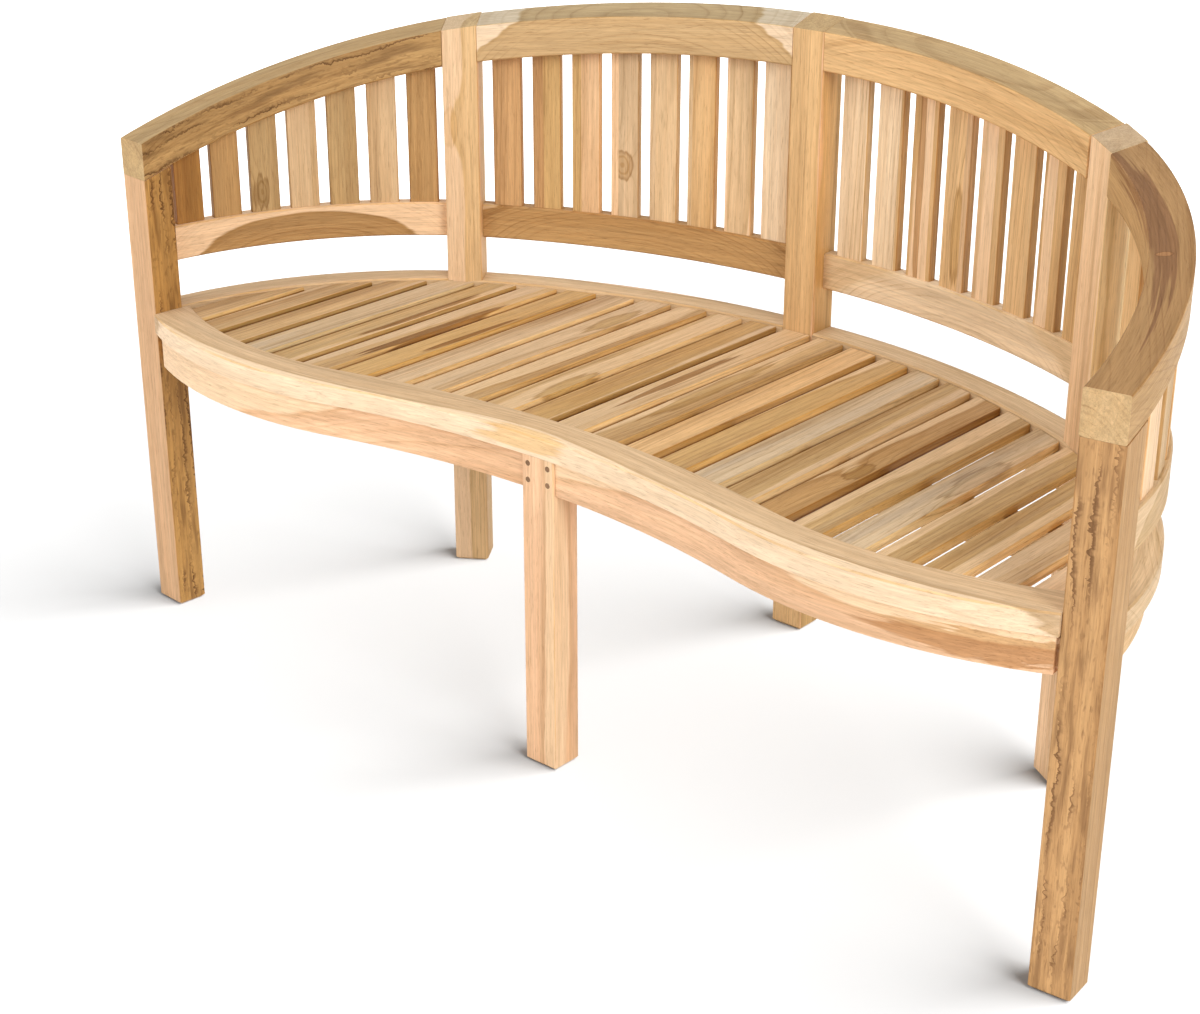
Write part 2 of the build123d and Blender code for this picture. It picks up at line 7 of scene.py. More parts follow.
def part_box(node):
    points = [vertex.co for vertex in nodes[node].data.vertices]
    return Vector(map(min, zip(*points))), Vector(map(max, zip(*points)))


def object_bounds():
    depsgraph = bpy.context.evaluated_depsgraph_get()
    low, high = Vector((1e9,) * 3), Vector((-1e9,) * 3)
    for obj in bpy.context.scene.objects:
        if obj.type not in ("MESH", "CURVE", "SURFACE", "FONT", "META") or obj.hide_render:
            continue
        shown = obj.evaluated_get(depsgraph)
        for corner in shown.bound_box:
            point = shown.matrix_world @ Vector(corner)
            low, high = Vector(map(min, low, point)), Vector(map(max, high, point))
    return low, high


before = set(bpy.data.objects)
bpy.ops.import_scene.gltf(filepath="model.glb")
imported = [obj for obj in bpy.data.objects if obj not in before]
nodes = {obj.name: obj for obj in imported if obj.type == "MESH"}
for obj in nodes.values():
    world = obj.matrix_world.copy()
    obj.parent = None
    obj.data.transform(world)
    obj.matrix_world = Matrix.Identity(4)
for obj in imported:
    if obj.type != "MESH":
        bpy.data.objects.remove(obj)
cad_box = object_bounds()

# Plan of the bench as the solids have it: lengths in metres, turns and chords in degrees
BACK_CENTRE = (0.0, -0.70743)
ARM_CENTRE = (0.22578, -0.26406)
BACK_RADIUS = 1.016
ARM_RADIUS = 0.520
SLAT_INSET = 0.013
REAR_TURN = 33.4
END_TURN = 86.0
REAR_CHORD = 15.1
ARM_CHORD = 59.7
CREST_SLOPE = 0.314
WAVE_LENGTH = 0.92
WAVE_HEIGHT = 0.0305
SEAT_LEVEL = 0.437

# Upright slats: angle of the first one and step to the next, in radians
REAR_SLATS = 8
REAR_SLAT_FIRST = math.radians(2.9846)
REAR_SLAT_STEP = math.radians(3.1755)
ARM_SLATS = 7
ARM_SLAT_FIRST = math.radians(40.236)
ARM_SLAT_STEP = math.radians(6.384)

# Turn of the front's wave, in radians per metre
WAVE_TURN = 2 * math.pi / WAVE_LENGTH

# Bows of the pieces in plan: half the curvature, and the height of the wave
STRAIGHT = (0.0, 0.0)
BACK_BOW = (0.5 / BACK_RADIUS, 0.0)
ARM_BOW = (0.5 / ARM_RADIUS, 0.0)
FRONT_BOW = (0.0, WAVE_HEIGHT)

# Directions that faces look in
RIGHT = (1.0, 0.0, 0.0)
OUT_RIGHT = (0.96, 0.25, 0.0)
FRONT = (0.0, -1.0, 0.0)
TOP = (0.0, 0.0, 1.0)

# Tones of the wood as they look in plain light, in 8 bit sRGB
TONES = {
    "cream": (250, 223, 187),
    "pale": (247, 212, 172),
    "blush": (241, 203, 161),
    "pink": (236, 191, 151),
    "ash": (238, 212, 180),
    "rose": (217, 174, 132),
    "honey": (230, 191, 140),
    "gold": (221, 181, 129),
    "straw": (222, 190, 148),
    "fawn": (214, 184, 146),
    "tan": (208, 174, 127),
    "amber": (206, 168, 112),
    "olive": (198, 165, 116),
    "clay": (200, 157, 108),
    "brown": (190, 150, 98),
    "umber": (174, 127, 67),
    "grey": (210, 186, 152),
    "peg": (138, 104, 74),
}
LIGHT_TINT = (1.05, 1.055, 1.06)
DARK_TINT = (0.70, 0.61, 0.50)
MOST_LIGHT = 0.93

# Noise in the wood: scales per metre along, across and through the grain, detail where it isn't the usual,
# levels between which it becomes a share, and a shift that keeps it apart from the others
PATTERNS = {
    "bends": dict(scales=(2.2, 13.0, 13.0)),
    "ring fading": dict(scales=(4.0, 30.0, 30.0), detail=1.0, levels=(0.22, 0.55)),
    "fibres": dict(scales=(20.0, 520.0, 520.0), detail=3.0, levels=(0.3, 0.7)),
    "strands": dict(scales=(2.4, 85.0, 85.0), detail=3.0, levels=(0.34, 0.66)),
    "pores": dict(scales=(60.0, 1100.0, 1100.0), detail=1.0, levels=(0.6, 0.74)),
    "drift": dict(scales=(1.7, 22.0, 22.0), levels=(0.42, 0.72), shift=(7.0, 3.0, 5.0)),
    "clouds": dict(scales=(1.6, 42.0, 42.0), levels=(0.3, 0.7), shift=(3.0, 8.0, 1.0)),
    "sap line": dict(scales=(5.0, 60.0, 60.0), detail=3.0),
    "minerals": dict(scales=(2.4, 75.0, 75.0), levels=(0.48, 0.72), shift=(2.0, 9.0, 4.0)),
    "fine streaks": dict(scales=(6.0, 230.0, 230.0), levels=(0.34, 0.66), shift=(4.0, 6.0, 2.0)),
    "mark jitter": dict(scales=(11.0, 60.0, 60.0)),
    "mark strands": dict(scales=(5.0, 190.0, 190.0)),
    "torn cusps": dict(scales=(85.0, 45.0, 45.0), detail=3.0),
    "torn waves": dict(scales=(7.0, 20.0, 20.0)),
    "torn width": dict(scales=(22.0, 60.0, 60.0), levels=(0.35, 0.65)),
    "torn breaks": dict(scales=(9.0, 34.0, 34.0), levels=(0.38, 0.58), shift=(1.0, 4.0, 2.0)),
    "smears": dict(scales=(11.0, 95.0, 95.0), detail=3.0, levels=(0.48, 0.66), shift=(5.0, 2.0, 3.0)),
    "specks": dict(scales=(70.0, 190.0, 190.0), levels=(0.55, 0.7)),
    "worn patches": dict(scales=(7.0, 30.0, 30.0), levels=(0.3, 0.6)),
}
USUAL_DETAIL = 2.0
NOISE_MIDDLE = (0.5, 0.5, 0.5)

# Growth rings: uneven widths, shade across one ring from pale to dark, and strength from ring to ring
UNEVEN_SCALE = 0.4
UNEVEN_RINGS = 1.4
RING_PROFILE = ((0.0, 0.2), (0.1, 0.62), (0.3, 1.0), (0.68, 0.84), (0.92, 0.05), (1.0, 0.2))
RING_STRENGTHS = (0.12, 1.1)
FIGURE = 0.75

# Heartwood and sapwood: distances are in metres past the line between them
STRAND_SHADE = 0.24
DRIFT_TINT = (0.76, 0.68, 0.56)
CLOUD_LIGHT = (0.92, 1.07)
SAP_RAGGED = 0.008
SAP_EDGE = (-0.0012, 0.0022)
SAP_RIM = (-0.007, -0.0006)
SAP_RIM_SHARE = 0.5
SAP_RIM_TINT = (0.80, 0.74, 0.60)
SAP_FIGURE = 0.75
SAP_DARK_TINT = (0.80, 0.73, 0.65)
MINERAL_GREY = (0.44, 0.37, 0.30, 1.0)

# Surface of the wood: light, roughness and height of streaks, fibres and pores
FINE_TINT = (0.92, 0.905, 0.88)
FINE_GAIN = 1.04
FIBRE_LIGHT = (0.90, 1.07)
PORE_SHARE = 0.4
PORE_TINT = (0.55, 0.46, 0.36)
FIBRE_ROUGHNESS = (0.66, 0.52)
PORE_ROUGHNESS = 0.12
FIBRE_HEIGHT = 0.45
PORE_DEPTH = 0.7
RING_DEPTH = 0.35
BUMP_STRENGTH = 0.55
BUMP_DISTANCE = 0.0008
SPECULAR = 0.3

# Knots, eyes and streaks: levels fall from 1 in the middle to 0 at the edge
MARK_JITTER = (0.8, 0.6, 0.6)
MARK_EDGE = (-0.03, 0.2)
MARK_RIM = (-0.05, 0.1)
MARK_INNER = (0.1, 0.34)
MARK_FALL = -0.4
KNOT_RINGS = 15.0
KNOT_SHARES = (0.55, 0.95)
RIM_TINT = (0.56, 0.45, 0.31)

# Torn grain: raggedness in metres, widths in shares of the spacing of the lines, then strengths
TORN_TEETH = 0.014
TORN_WAVES = 0.014
TORN_START = 0.05
TORN_WIDTHS = (0.12, 0.55)
TORN_FADE = 0.85
TORN_FADE_SHARE = 0.4
SMEAR_SHARE = 0.6
SPECK_SHARE = 0.45
TORN_DEPTH = 1.2
LINE_TINT = (0.25, 0.17, 0.10)

# Faces and edges: a face counts from the first share of its direction and in full from the second
FACING = (0.55, 0.75)
WORN_EDGE = (0.06, 0.2)
EDGE_TINT = (0.9, 0.8, 0.62)
EDGE_POLISH = 0.14

# Places in the noise for the grain of each node, and for each slat of a bay
SEED_START = 5.0
SEED_STEP = 3.7
SLAT_SEED_STEP = 4.3

# Strength of the rings and of the browner drifts in the upright slats
SLAT_FIGURE = 1.3
SLAT_DRIFT = 0.6

# What a piece of wood or a mark has when nothing else is said
PLAIN_LOOK = dict(
    bow=(0.0, 0.0, 0.0), ring_bow=0.0, pith=(0.08, 0.05), tilt=(0.0, 0.0), crook=0.0, spacing=0.0065,
    wobble=0.02, sap="pale", sap_radius=1.0, figure=0.9, drift=0.35, streak=0.0, marks=(), faces=(),
)
PLAIN_MARK = dict(pull=0.0, feather=1.0, share=1.0, rim=0.5, knot=False)

# Floor, lamps and camera: places in metres, power in watts, softness in degrees, turns in radians,
# lens and sensor in millimetres
WHITE = (1.0, 1.0, 1.0, 1.0)
FLOOR_SIZE = 30.0
FLOOR_DROP = 0.0003
FLOOR_GREY = (0.3, 0.3, 0.3, 1.0)
GLOW_REACH = (1.2, 3.0)
GLOW_STRENGTHS = (0.075, 0.9)
WORLD_LIGHT = 0.46
LAMPS = {
    "front_lamp": dict(place=(-3.2, -6.3, 3.4), target=(0.0, 0.0, 0.45), size=(4.5, 3.2), power=174.0),
    "right_lamp": dict(place=(6.9, -2.7, 3.8), target=(0.0, 0.0, 0.4), size=(3.2, 3.2), power=343.0),
    "top_lamp": dict(place=(-0.4, -1.2, 5.2), target=(0.0, 0.0, 0.4), size=(3.0, 2.4), power=80.0),
}
FLOOR_LIGHT = 19.3
FLOOR_SOFTNESS = 85.0
FLOOR_LIGHT_FROM = (4.785, 1.44, 2.9)
CAMERA_PLACE = (1.599, -1.9777, 1.3769)
CAMERA_TURN = (math.pi / 2 - 0.4107, 0.0, 0.7148)
CAMERA_LENS = 65.1
CAMERA_SENSOR = 36.0

FLOAT = "NodeSocketFloat"
COLOUR = "NodeSocketColor"
VECTOR = "NodeSocketVector"


def tone(name):
    """Linear colour of a named tone."""
    channels = []
    for value in TONES[name]:
        share = value / 255
        channels.append(share / 12.92 if share <= 0.04045 else ((share + 0.055) / 1.055) ** 2.4)
    return (*channels, 1.0)


def lighter(colour):
    """Colour of the pale early wood in wood of this mean colour."""
    channels = [value * tint for value, tint in zip(colour, LIGHT_TINT)]
    share = min(1.0, MOST_LIGHT / max(channels))
    return (*[value * share for value in channels], 1.0)


def deeper(colour):
    """Colour of the dark growth lines in wood of this mean colour."""
    return (*[value * tint for value, tint in zip(colour, DARK_TINT)], 1.0)


# Small helpers for node trees
def wire(tree, socket, value):
    """Link a socket to another node's output, or give it a plain value."""
    if isinstance(value, bpy.types.NodeSocket):
        tree.links.new(value, socket)
    else:
        socket.default_value = value


def add(tree, kind, values=(), **settings):
    """New node with its settings and its first inputs."""
    node = tree.nodes.new(kind)
    for name, value in settings.items():
        setattr(node, name, value)
    for socket, value in zip(node.inputs, values):
        wire(tree, socket, value)
    return node


def sums(tree, operation, *values):
    """Output of a math node."""
    return add(tree, "ShaderNodeMath", values, operation=operation).outputs[0]


def vectors(tree, operation, *values):
    """Vector output of a vector math node."""
    return add(tree, "ShaderNodeVectorMath", values, operation=operation).outputs[0]


def measure(tree, operation, *values):
    """Number output of a vector math node, such as a length or a dot product."""
    return add(tree, "ShaderNodeVectorMath", values, operation=operation).outputs["Value"]


def split(tree, vector):
    """Three parts of a vector."""
    return add(tree, "ShaderNodeSeparateXYZ", [vector]).outputs


def join(tree, *parts):
    """Vector from three parts."""
    return add(tree, "ShaderNodeCombineXYZ", parts).outputs[0]


def surface_normal(tree):
    """Direction that the surface looks in."""
    return add(tree, "ShaderNodeNewGeometry").outputs["True Normal"]


def ease(tree, value, low, high):
    """Smooth step from 0 at the low value to 1 at the high one."""
    values = [value, low, high, 0.0, 1.0]
    return add(tree, "ShaderNodeMapRange", values, interpolation_type="SMOOTHSTEP").outputs[0]


def spread(tree, value, low, high):
    """Value between 0 and 1 moved to a new range."""
    return add(tree, "ShaderNodeMapRange", [value, 0.0, 1.0, low, high]).outputs[0]


def pattern(tree, grain, name, output=0):
    """Noise of a named pattern, or its share where it has levels; output 1 gives three channels."""
    given = PATTERNS[name]
    place = vectors(tree, "ADD", grain, given["shift"]) if "shift" in given else grain
    stretched = vectors(tree, "MULTIPLY", place, given["scales"])
    node = add(tree, "ShaderNodeTexNoise", noise_dimensions="3D")
    wire(tree, node.inputs["Vector"], stretched)
    node.inputs["Scale"].default_value = 1.0
    node.inputs["Detail"].default_value = given.get("detail", USUAL_DETAIL)
    if "levels" in given:
        return ease(tree, node.outputs[0], *given["levels"])
    return node.outputs[output]


def blend(tree, share, first, second, how="MIX"):
    """Two colours mixed."""
    node = add(tree, "ShaderNodeMix", data_type="RGBA", blend_type=how)
    wire(tree, node.inputs[0], share)
    wire(tree, node.inputs[6], first)
    wire(tree, node.inputs[7], second)
    return node.outputs[2]


def scaled(tree, vector, share):
    """Vector or colour times a number."""
    node = add(tree, "ShaderNodeVectorMath", [vector], operation="SCALE")
    wire(tree, node.inputs["Scale"], share)
    return node.outputs[0]


def tinted(tree, share, colour, tint):
    """Colour multiplied by a tint where the share is one."""
    return blend(tree, share, colour, (*tint, 1.0), "MULTIPLY")


def ramp(tree, value, stops, how="LINEAR"):
    """Colour ramp through pairs of place and colour."""
    node = add(tree, "ShaderNodeValToRGB", [value])
    node.color_ramp.interpolation = how
    elements = node.color_ramp.elements
    while len(elements) < len(stops):
        elements.new(0.5)
    for element, (place, colour) in zip(elements, stops):
        element.position = place
        element.color = colour
    return node.outputs[0]


def greys(pairs):
    """Stops of a ramp that gives numbers."""
    return [(place, (value, value, value, 1.0)) for place, value in pairs]


def new_group(name, inputs, outputs):
    """Empty node group with its sockets, and its two end nodes."""
    tree = bpy.data.node_groups.new(name, "ShaderNodeTree")
    for label, kind in inputs:
        tree.interface.new_socket(name=label, in_out="INPUT", socket_type=kind)
    for label, kind in outputs:
        tree.interface.new_socket(name=label, in_out="OUTPUT", socket_type=kind)
    return tree, tree.nodes.new("NodeGroupInput").outputs, tree.nodes.new("NodeGroupOutput").inputs


def make_teak_group():
    """Solid wood: growth rings round a pith, heartwood and sapwood, fibres and pores.

    Place is in metres from the middle of the piece: along the grain, across and through it.
    Grain is the same place shifted, so that every piece has fibres of its own."""
    inputs = [
        ("Place", VECTOR), ("Grain", VECTOR), ("Pith", VECTOR), ("Tilt", VECTOR), ("Crook", FLOAT),
        ("Spacing", FLOAT), ("Wobble", FLOAT), ("Pull", FLOAT), ("Light", COLOUR), ("Dark", COLOUR),
        ("Sap", COLOUR), ("Sap Radius", FLOAT), ("Figure", FLOAT), ("Drift", FLOAT), ("Streak", FLOAT),
    ]
    outputs = [("Color", COLOUR), ("Roughness", FLOAT), ("Height", FLOAT)]
    tree, given, result = new_group("teak", inputs, outputs)
    place = given["Place"]
    grain = given["Grain"]

    # Distance from a leaning, bent pith, with slow wobbles along the grain
    bends = vectors(tree, "SUBTRACT", pattern(tree, grain, "bends", 1), NOISE_MIDDLE)
    bent = scaled(tree, bends, given["Wobble"])
    along = split(tree, place)[0]
    pith = vectors(tree, "ADD", given["Pith"], scaled(tree, given["Tilt"], along))
    across = vectors(tree, "SUBTRACT", vectors(tree, "ADD", place, bent), pith)
    radius = measure(tree, "LENGTH", vectors(tree, "MULTIPLY", across, (0.0, 1.0, 1.0)))
    radius = sums(tree, "ADD", radius, given["Pull"])
    square = sums(tree, "MULTIPLY", along, along)
    radius = sums(tree, "ADD", radius, sums(tree, "MULTIPLY", square, given["Crook"]))

    # Growth rings of uneven width and strength
    rings = sums(tree, "DIVIDE", radius, given["Spacing"])
    uneven = add(tree, "ShaderNodeTexNoise", noise_dimensions="1D")
    wire(tree, uneven.inputs["W"], rings)
    uneven.inputs["Scale"].default_value = UNEVEN_SCALE
    rings = sums(tree, "ADD", rings, spread(tree, uneven.outputs[0], -UNEVEN_RINGS, UNEVEN_RINGS))
    profile = ramp(tree, sums(tree, "FRACT", rings), greys(RING_PROFILE))
    chance = add(tree, "ShaderNodeTexWhiteNoise", noise_dimensions="1D")
    wire(tree, chance.inputs["W"], sums(tree, "FLOOR", rings))
    chosen = sums(tree, "MULTIPLY", chance.outputs[0], chance.outputs[0])
    strength = spread(tree, chosen, *RING_STRENGTHS)
    strength = sums(tree, "MULTIPLY", strength, pattern(tree, grain, "ring fading"))
    strength = sums(tree, "MULTIPLY", strength, given["Figure"])
    shadow = sums(tree, "MULTIPLY", sums(tree, "SUBTRACT", 1.0, profile), strength)

    # Heartwood, drifting between lighter and browner
    strands = pattern(tree, grain, "strands")
    depth = sums(tree, "ADD", shadow, spread(tree, strands, STRAND_SHADE, 0.0))
    heart = blend(tree, depth, given["Light"], given["Dark"])
    drift = sums(tree, "MULTIPLY", pattern(tree, grain, "drift"), given["Drift"])
    heart = tinted(tree, drift, heart, DRIFT_TINT)
    heart = scaled(tree, heart, spread(tree, pattern(tree, grain, "clouds"), *CLOUD_LIGHT))

    # Sapwood outside a ragged line
    ragged = spread(tree, pattern(tree, grain, "sap line"), -SAP_RAGGED, SAP_RAGGED)
    past = sums(tree, "SUBTRACT", sums(tree, "ADD", radius, ragged), given["Sap Radius"])
    sapwood = ease(tree, past, *SAP_EDGE)
    rim = sums(tree, "MULTIPLY", ease(tree, past, *SAP_RIM), sums(tree, "SUBTRACT", 1.0, sapwood))
    heart = tinted(tree, sums(tree, "MULTIPLY", rim, SAP_RIM_SHARE), heart, SAP_RIM_TINT)
    sap = tinted(tree, sums(tree, "MULTIPLY", depth, SAP_FIGURE), given["Sap"], SAP_DARK_TINT)
    colour = blend(tree, sapwood, heart, sap)

    # Grey mineral streaks
    grey_share = sums(tree, "MULTIPLY", pattern(tree, grain, "minerals"), given["Streak"])
    colour = blend(tree, grey_share, colour, MINERAL_GREY)

    # Fine streaks, fibres and pores over all
    fibres = pattern(tree, grain, "fibres")
    pores = pattern(tree, grain, "pores")
    colour = scaled(tree, tinted(tree, pattern(tree, grain, "fine streaks"), colour, FINE_TINT), FINE_GAIN)
    colour = scaled(tree, colour, spread(tree, fibres, *FIBRE_LIGHT))
    colour = tinted(tree, sums(tree, "MULTIPLY", pores, PORE_SHARE), colour, PORE_TINT)
    wire(tree, result["Color"], colour)
    pore_roughness = sums(tree, "MULTIPLY", pores, PORE_ROUGHNESS)
    wire(tree, result["Roughness"], sums(tree, "ADD", spread(tree, fibres, *FIBRE_ROUGHNESS), pore_roughness))
    raised = sums(tree, "MULTIPLY", fibres, FIBRE_HEIGHT)
    height = sums(tree, "SUBTRACT", raised, sums(tree, "MULTIPLY", pores, PORE_DEPTH))
    height = sums(tree, "SUBTRACT", height, sums(tree, "MULTIPLY", shadow, RING_DEPTH))
    wire(tree, result["Height"], height)
    return tree


def make_mark_group():
    """Knot, eye or dark streak: its feathered share, its rim, and how far it pulls the growth rings."""
    inputs = [("Grain", VECTOR), ("Middle", VECTOR), ("Size", VECTOR), ("Pull", FLOAT), ("Feather", FLOAT)]
    outputs = [("Share", FLOAT), ("Rim", FLOAT), ("Circles", FLOAT), ("Pull", FLOAT)]
    tree, given, result = new_group("mark", inputs, outputs)
    grain = given["Grain"]
    away = vectors(tree, "SUBTRACT", grain, given["Middle"])
    away = vectors(tree, "DIVIDE", away, given["Size"])
    jitter = vectors(tree, "SUBTRACT", pattern(tree, grain, "mark jitter", 1), NOISE_MIDDLE)
    jitter = vectors(tree, "MULTIPLY", jitter, MARK_JITTER)
    reach = measure(tree, "LENGTH", vectors(tree, "ADD", away, jitter))
    strands = sums(tree, "SUBTRACT", pattern(tree, grain, "mark strands"), 0.5)
    level = sums(tree, "SUBTRACT", 1.0, reach)
    level = sums(tree, "ADD", level, sums(tree, "MULTIPLY", strands, given["Feather"]))
    wire(tree, result["Share"], ease(tree, level, *MARK_EDGE))
    outer = sums(tree, "SUBTRACT", 1.0, ease(tree, level, *MARK_INNER))
    wire(tree, result["Rim"], sums(tree, "MULTIPLY", ease(tree, level, *MARK_RIM), outer))
    circles = sums(tree, "SINE", sums(tree, "MULTIPLY", reach, KNOT_RINGS))
    wire(tree, result["Circles"], spread(tree, circles, *KNOT_SHARES))
    square = sums(tree, "MULTIPLY", reach, reach)
    bell = sums(tree, "EXPONENT", sums(tree, "MULTIPLY", square, MARK_FALL))
    wire(tree, result["Pull"], sums(tree, "MULTIPLY", bell, given["Pull"]))
    return tree


def make_torn_group():
    """Torn grain on a rough face: ragged dark lines along it that fade to one side, smears and specks.

    The third part of the place runs across the face."""
    inputs = [("Grain", VECTOR), ("Spacing", FLOAT), ("Start", FLOAT)]
    tree, given, result = new_group("torn_grain", inputs, [("Lines", FLOAT)])
    grain = given["Grain"]
    cusps = sums(tree, "ABSOLUTE", spread(tree, pattern(tree, grain, "torn cusps"), -1.0, 1.0))
    through = sums(tree, "ADD", split(tree, grain)[2], spread(tree, cusps, 0.0, TORN_TEETH))
    waves = spread(tree, pattern(tree, grain, "torn waves"), -TORN_WAVES, TORN_WAVES)
    through = sums(tree, "ADD", through, waves)
    turns = sums(tree, "DIVIDE", sums(tree, "SUBTRACT", through, given["Start"]), given["Spacing"])
    turn = sums(tree, "FRACT", turns)
    width = spread(tree, pattern(tree, grain, "torn width"), *TORN_WIDTHS)
    sharp = sums(tree, "SUBTRACT", 1.0, ease(tree, turn, TORN_START, width))
    soft = sums(tree, "SUBTRACT", 1.0, ease(tree, turn, 0.0, TORN_FADE))
    soft = sums(tree, "MULTIPLY", soft, TORN_FADE_SHARE)
    lines = sums(tree, "MULTIPLY", sums(tree, "MAXIMUM", sharp, soft), pattern(tree, grain, "torn breaks"))
    smears = sums(tree, "MULTIPLY", pattern(tree, grain, "smears"), SMEAR_SHARE)
    specks = sums(tree, "MULTIPLY", pattern(tree, grain, "specks"), SPECK_SHARE)
    spots = sums(tree, "MAXIMUM", smears, specks)
    wire(tree, result["Lines"], sums(tree, "MAXIMUM", lines, spots))
    return tree


TEAK = make_teak_group()
MARK = make_mark_group()
TORN = make_torn_group()


def use_group(tree, group, **values):
    """Group node with its inputs set; underscores in the names stand for spaces."""
    node = tree.nodes.new("ShaderNodeGroup")
    node.node_tree = group
    for name, value in values.items():
        wire(tree, node.inputs[name.replace("_", " ")], value)
    return node.outputs


# Places and directions in a piece
def lengthwise(turn, slope=0.0):
    """Axes of a rail or board: along its chord, outwards and up."""
    angle = math.radians(turn)
    along = Vector((math.cos(angle), -math.sin(angle), -slope * math.sin(angle))).normalized()
    out = Vector((math.sin(angle), math.cos(angle), 0.0))
    out = (out - along * out.dot(along)).normalized()
    return Matrix((along, out, along.cross(out)))


def upright(turn):
    """Axes of a post: up, along the curve and outwards."""
    angle = math.radians(turn)
    along = Vector((math.cos(angle), -math.sin(angle), 0.0))
    out = Vector((math.sin(angle), math.cos(angle), 0.0))
    return Matrix((Vector((0.0, 0.0, 1.0)), along, out))


def crosswise():
    """Axes of a seat slat: to the back, sideways and down."""
    return Matrix((Vector((0.0, 1.0, 0.0)), Vector((1.0, 0.0, 0.0)), Vector((0.0, 0.0, -1.0))))


def backwards():
    """Axes of the centre rail: to the back, to the left and up."""
    return Matrix((Vector((0.0, 1.0, 0.0)), Vector((-1.0, 0.0, 0.0)), Vector((0.0, 0.0, 1.0))))


def turned_place(tree, axes, shift):
    """Object coordinates seen along a piece's own axes, then moved."""
    coords = add(tree, "ShaderNodeTexCoord").outputs["Object"]
    mapping = add(tree, "ShaderNodeMapping", vector_type="POINT")
    wire(tree, mapping.inputs["Vector"], coords)
    mapping.inputs["Rotation"].default_value = axes.to_euler()
    mapping.inputs["Location"].default_value = shift
    return mapping.outputs[0]


def bay_place(tree, centre, radius, first, step, height):
    """Place in a bay of upright slats: up from the middle height, across the slat and outwards.

    The slat's number comes with it, and the part of the normal that looks outwards."""
    coords = add(tree, "ShaderNodeTexCoord").outputs["Object"]
    parts = split(tree, coords)
    east = sums(tree, "SUBTRACT", parts[0], centre[0])
    north = sums(tree, "SUBTRACT", parts[1], centre[1])
    turn = sums(tree, "SUBTRACT", sums(tree, "ARCTAN2", east, north), first)
    count = sums(tree, "ADD", sums(tree, "DIVIDE", turn, step), 0.5)
    number = sums(tree, "FLOOR", count)
    off_middle = sums(tree, "SUBTRACT", sums(tree, "SUBTRACT", count, number), 0.5)
    across = sums(tree, "MULTIPLY", off_middle, step * radius)
    squares = sums(tree, "ADD", sums(tree, "MULTIPLY", east, east), sums(tree, "MULTIPLY", north, north))
    outwards = sums(tree, "SUBTRACT", sums(tree, "SQRT", squares), radius)
    up = sums(tree, "SUBTRACT", parts[2], height)
    from_centre = vectors(tree, "NORMALIZE", join(tree, east, north, 0.0))
    outward = measure(tree, "DOT_PRODUCT", surface_normal(tree), from_centre)
    return join(tree, up, across, outwards), number, outward


def bow_at(bow, along):
    """How far a bowed piece lies out of line at a place along it: an arc, or the wave of the front."""
    curve, wave, start = bow
    return wave * math.cos(WAVE_TURN * (along + start)) - curve * along ** 2


def straighten(tree, place, bow, share=1.0):
    """Place with a share of the piece's bow taken out, so that the grain runs with the curve."""
    curve, wave, start = bow
    if not share or not (curve or wave):
        return place
    along, across, through = split(tree, place)
    angle = sums(tree, "MULTIPLY", sums(tree, "ADD", along, start), WAVE_TURN)
    height = sums(tree, "MULTIPLY", sums(tree, "COSINE", angle), wave * share)
    drop = sums(tree, "MULTIPLY", sums(tree, "MULTIPLY", along, along), curve * share)
    across = sums(tree, "ADD", sums(tree, "SUBTRACT", across, height), drop)
    return join(tree, along, across, through)


def facing(tree, direction):
    """Share of a face that looks in a direction."""
    return ease(tree, measure(tree, "DOT_PRODUCT", surface_normal(tree), direction), *FACING)


def worn_edges(tree, outward, grain):
    """Share of the rounded and chamfered edges that hands and weather have worn.

    Outward is the part of the normal along the piece's third axis: 0 or 1 on its faces, between on edges."""
    square = sums(tree, "MULTIPLY", outward, outward)
    product = sums(tree, "MULTIPLY", square, sums(tree, "SUBTRACT", 1.0, square))
    return sums(tree, "MULTIPLY", ease(tree, product, *WORN_EDGE), pattern(tree, grain, "worn patches"))


# Materials
def add_marks(tree, colour, marks):
    """Colour of the wood under its marks, each given with the outputs of its group."""
    for mark, outputs in marks:
        share = sums(tree, "MULTIPLY", outputs["Share"], mark["share"])
        if mark["knot"]:
            share = sums(tree, "MULTIPLY", share, outputs["Circles"])
        colour = tinted(tree, share, colour, mark["tint"])
        colour = tinted(tree, sums(tree, "MULTIPLY", outputs["Rim"], mark["rim"]), colour, RIM_TINT)
    return colour


def add_faces(tree, colour, height, place, grain, faces):
    """Colour and height of the wood with the tints, painted shade in gaps and torn grain of single faces."""
    for given in faces:
        seen = facing(tree, given["face"])
        if "depth" in given:
            deep = split(tree, place)[2]
            seen = sums(tree, "MULTIPLY", seen, ease(tree, deep, *given["depth"]))
        colour = tinted(tree, seen, colour, given["tint"])
        if "spacing" not in given:
            continue
        along, across, through = split(tree, grain)
        if given["axis"] == 1:
            across, through = through, across
        turned = join(tree, along, across, through)
        torn = use_group(tree, TORN, Grain=turned, Spacing=given["spacing"], Start=given["start"])
        lines = sums(tree, "MULTIPLY", torn["Lines"], seen)
        colour = tinted(tree, sums(tree, "MULTIPLY", lines, given["share"]), colour, LINE_TINT)
        height = sums(tree, "SUBTRACT", height, sums(tree, "MULTIPLY", lines, TORN_DEPTH))
    return colour, height


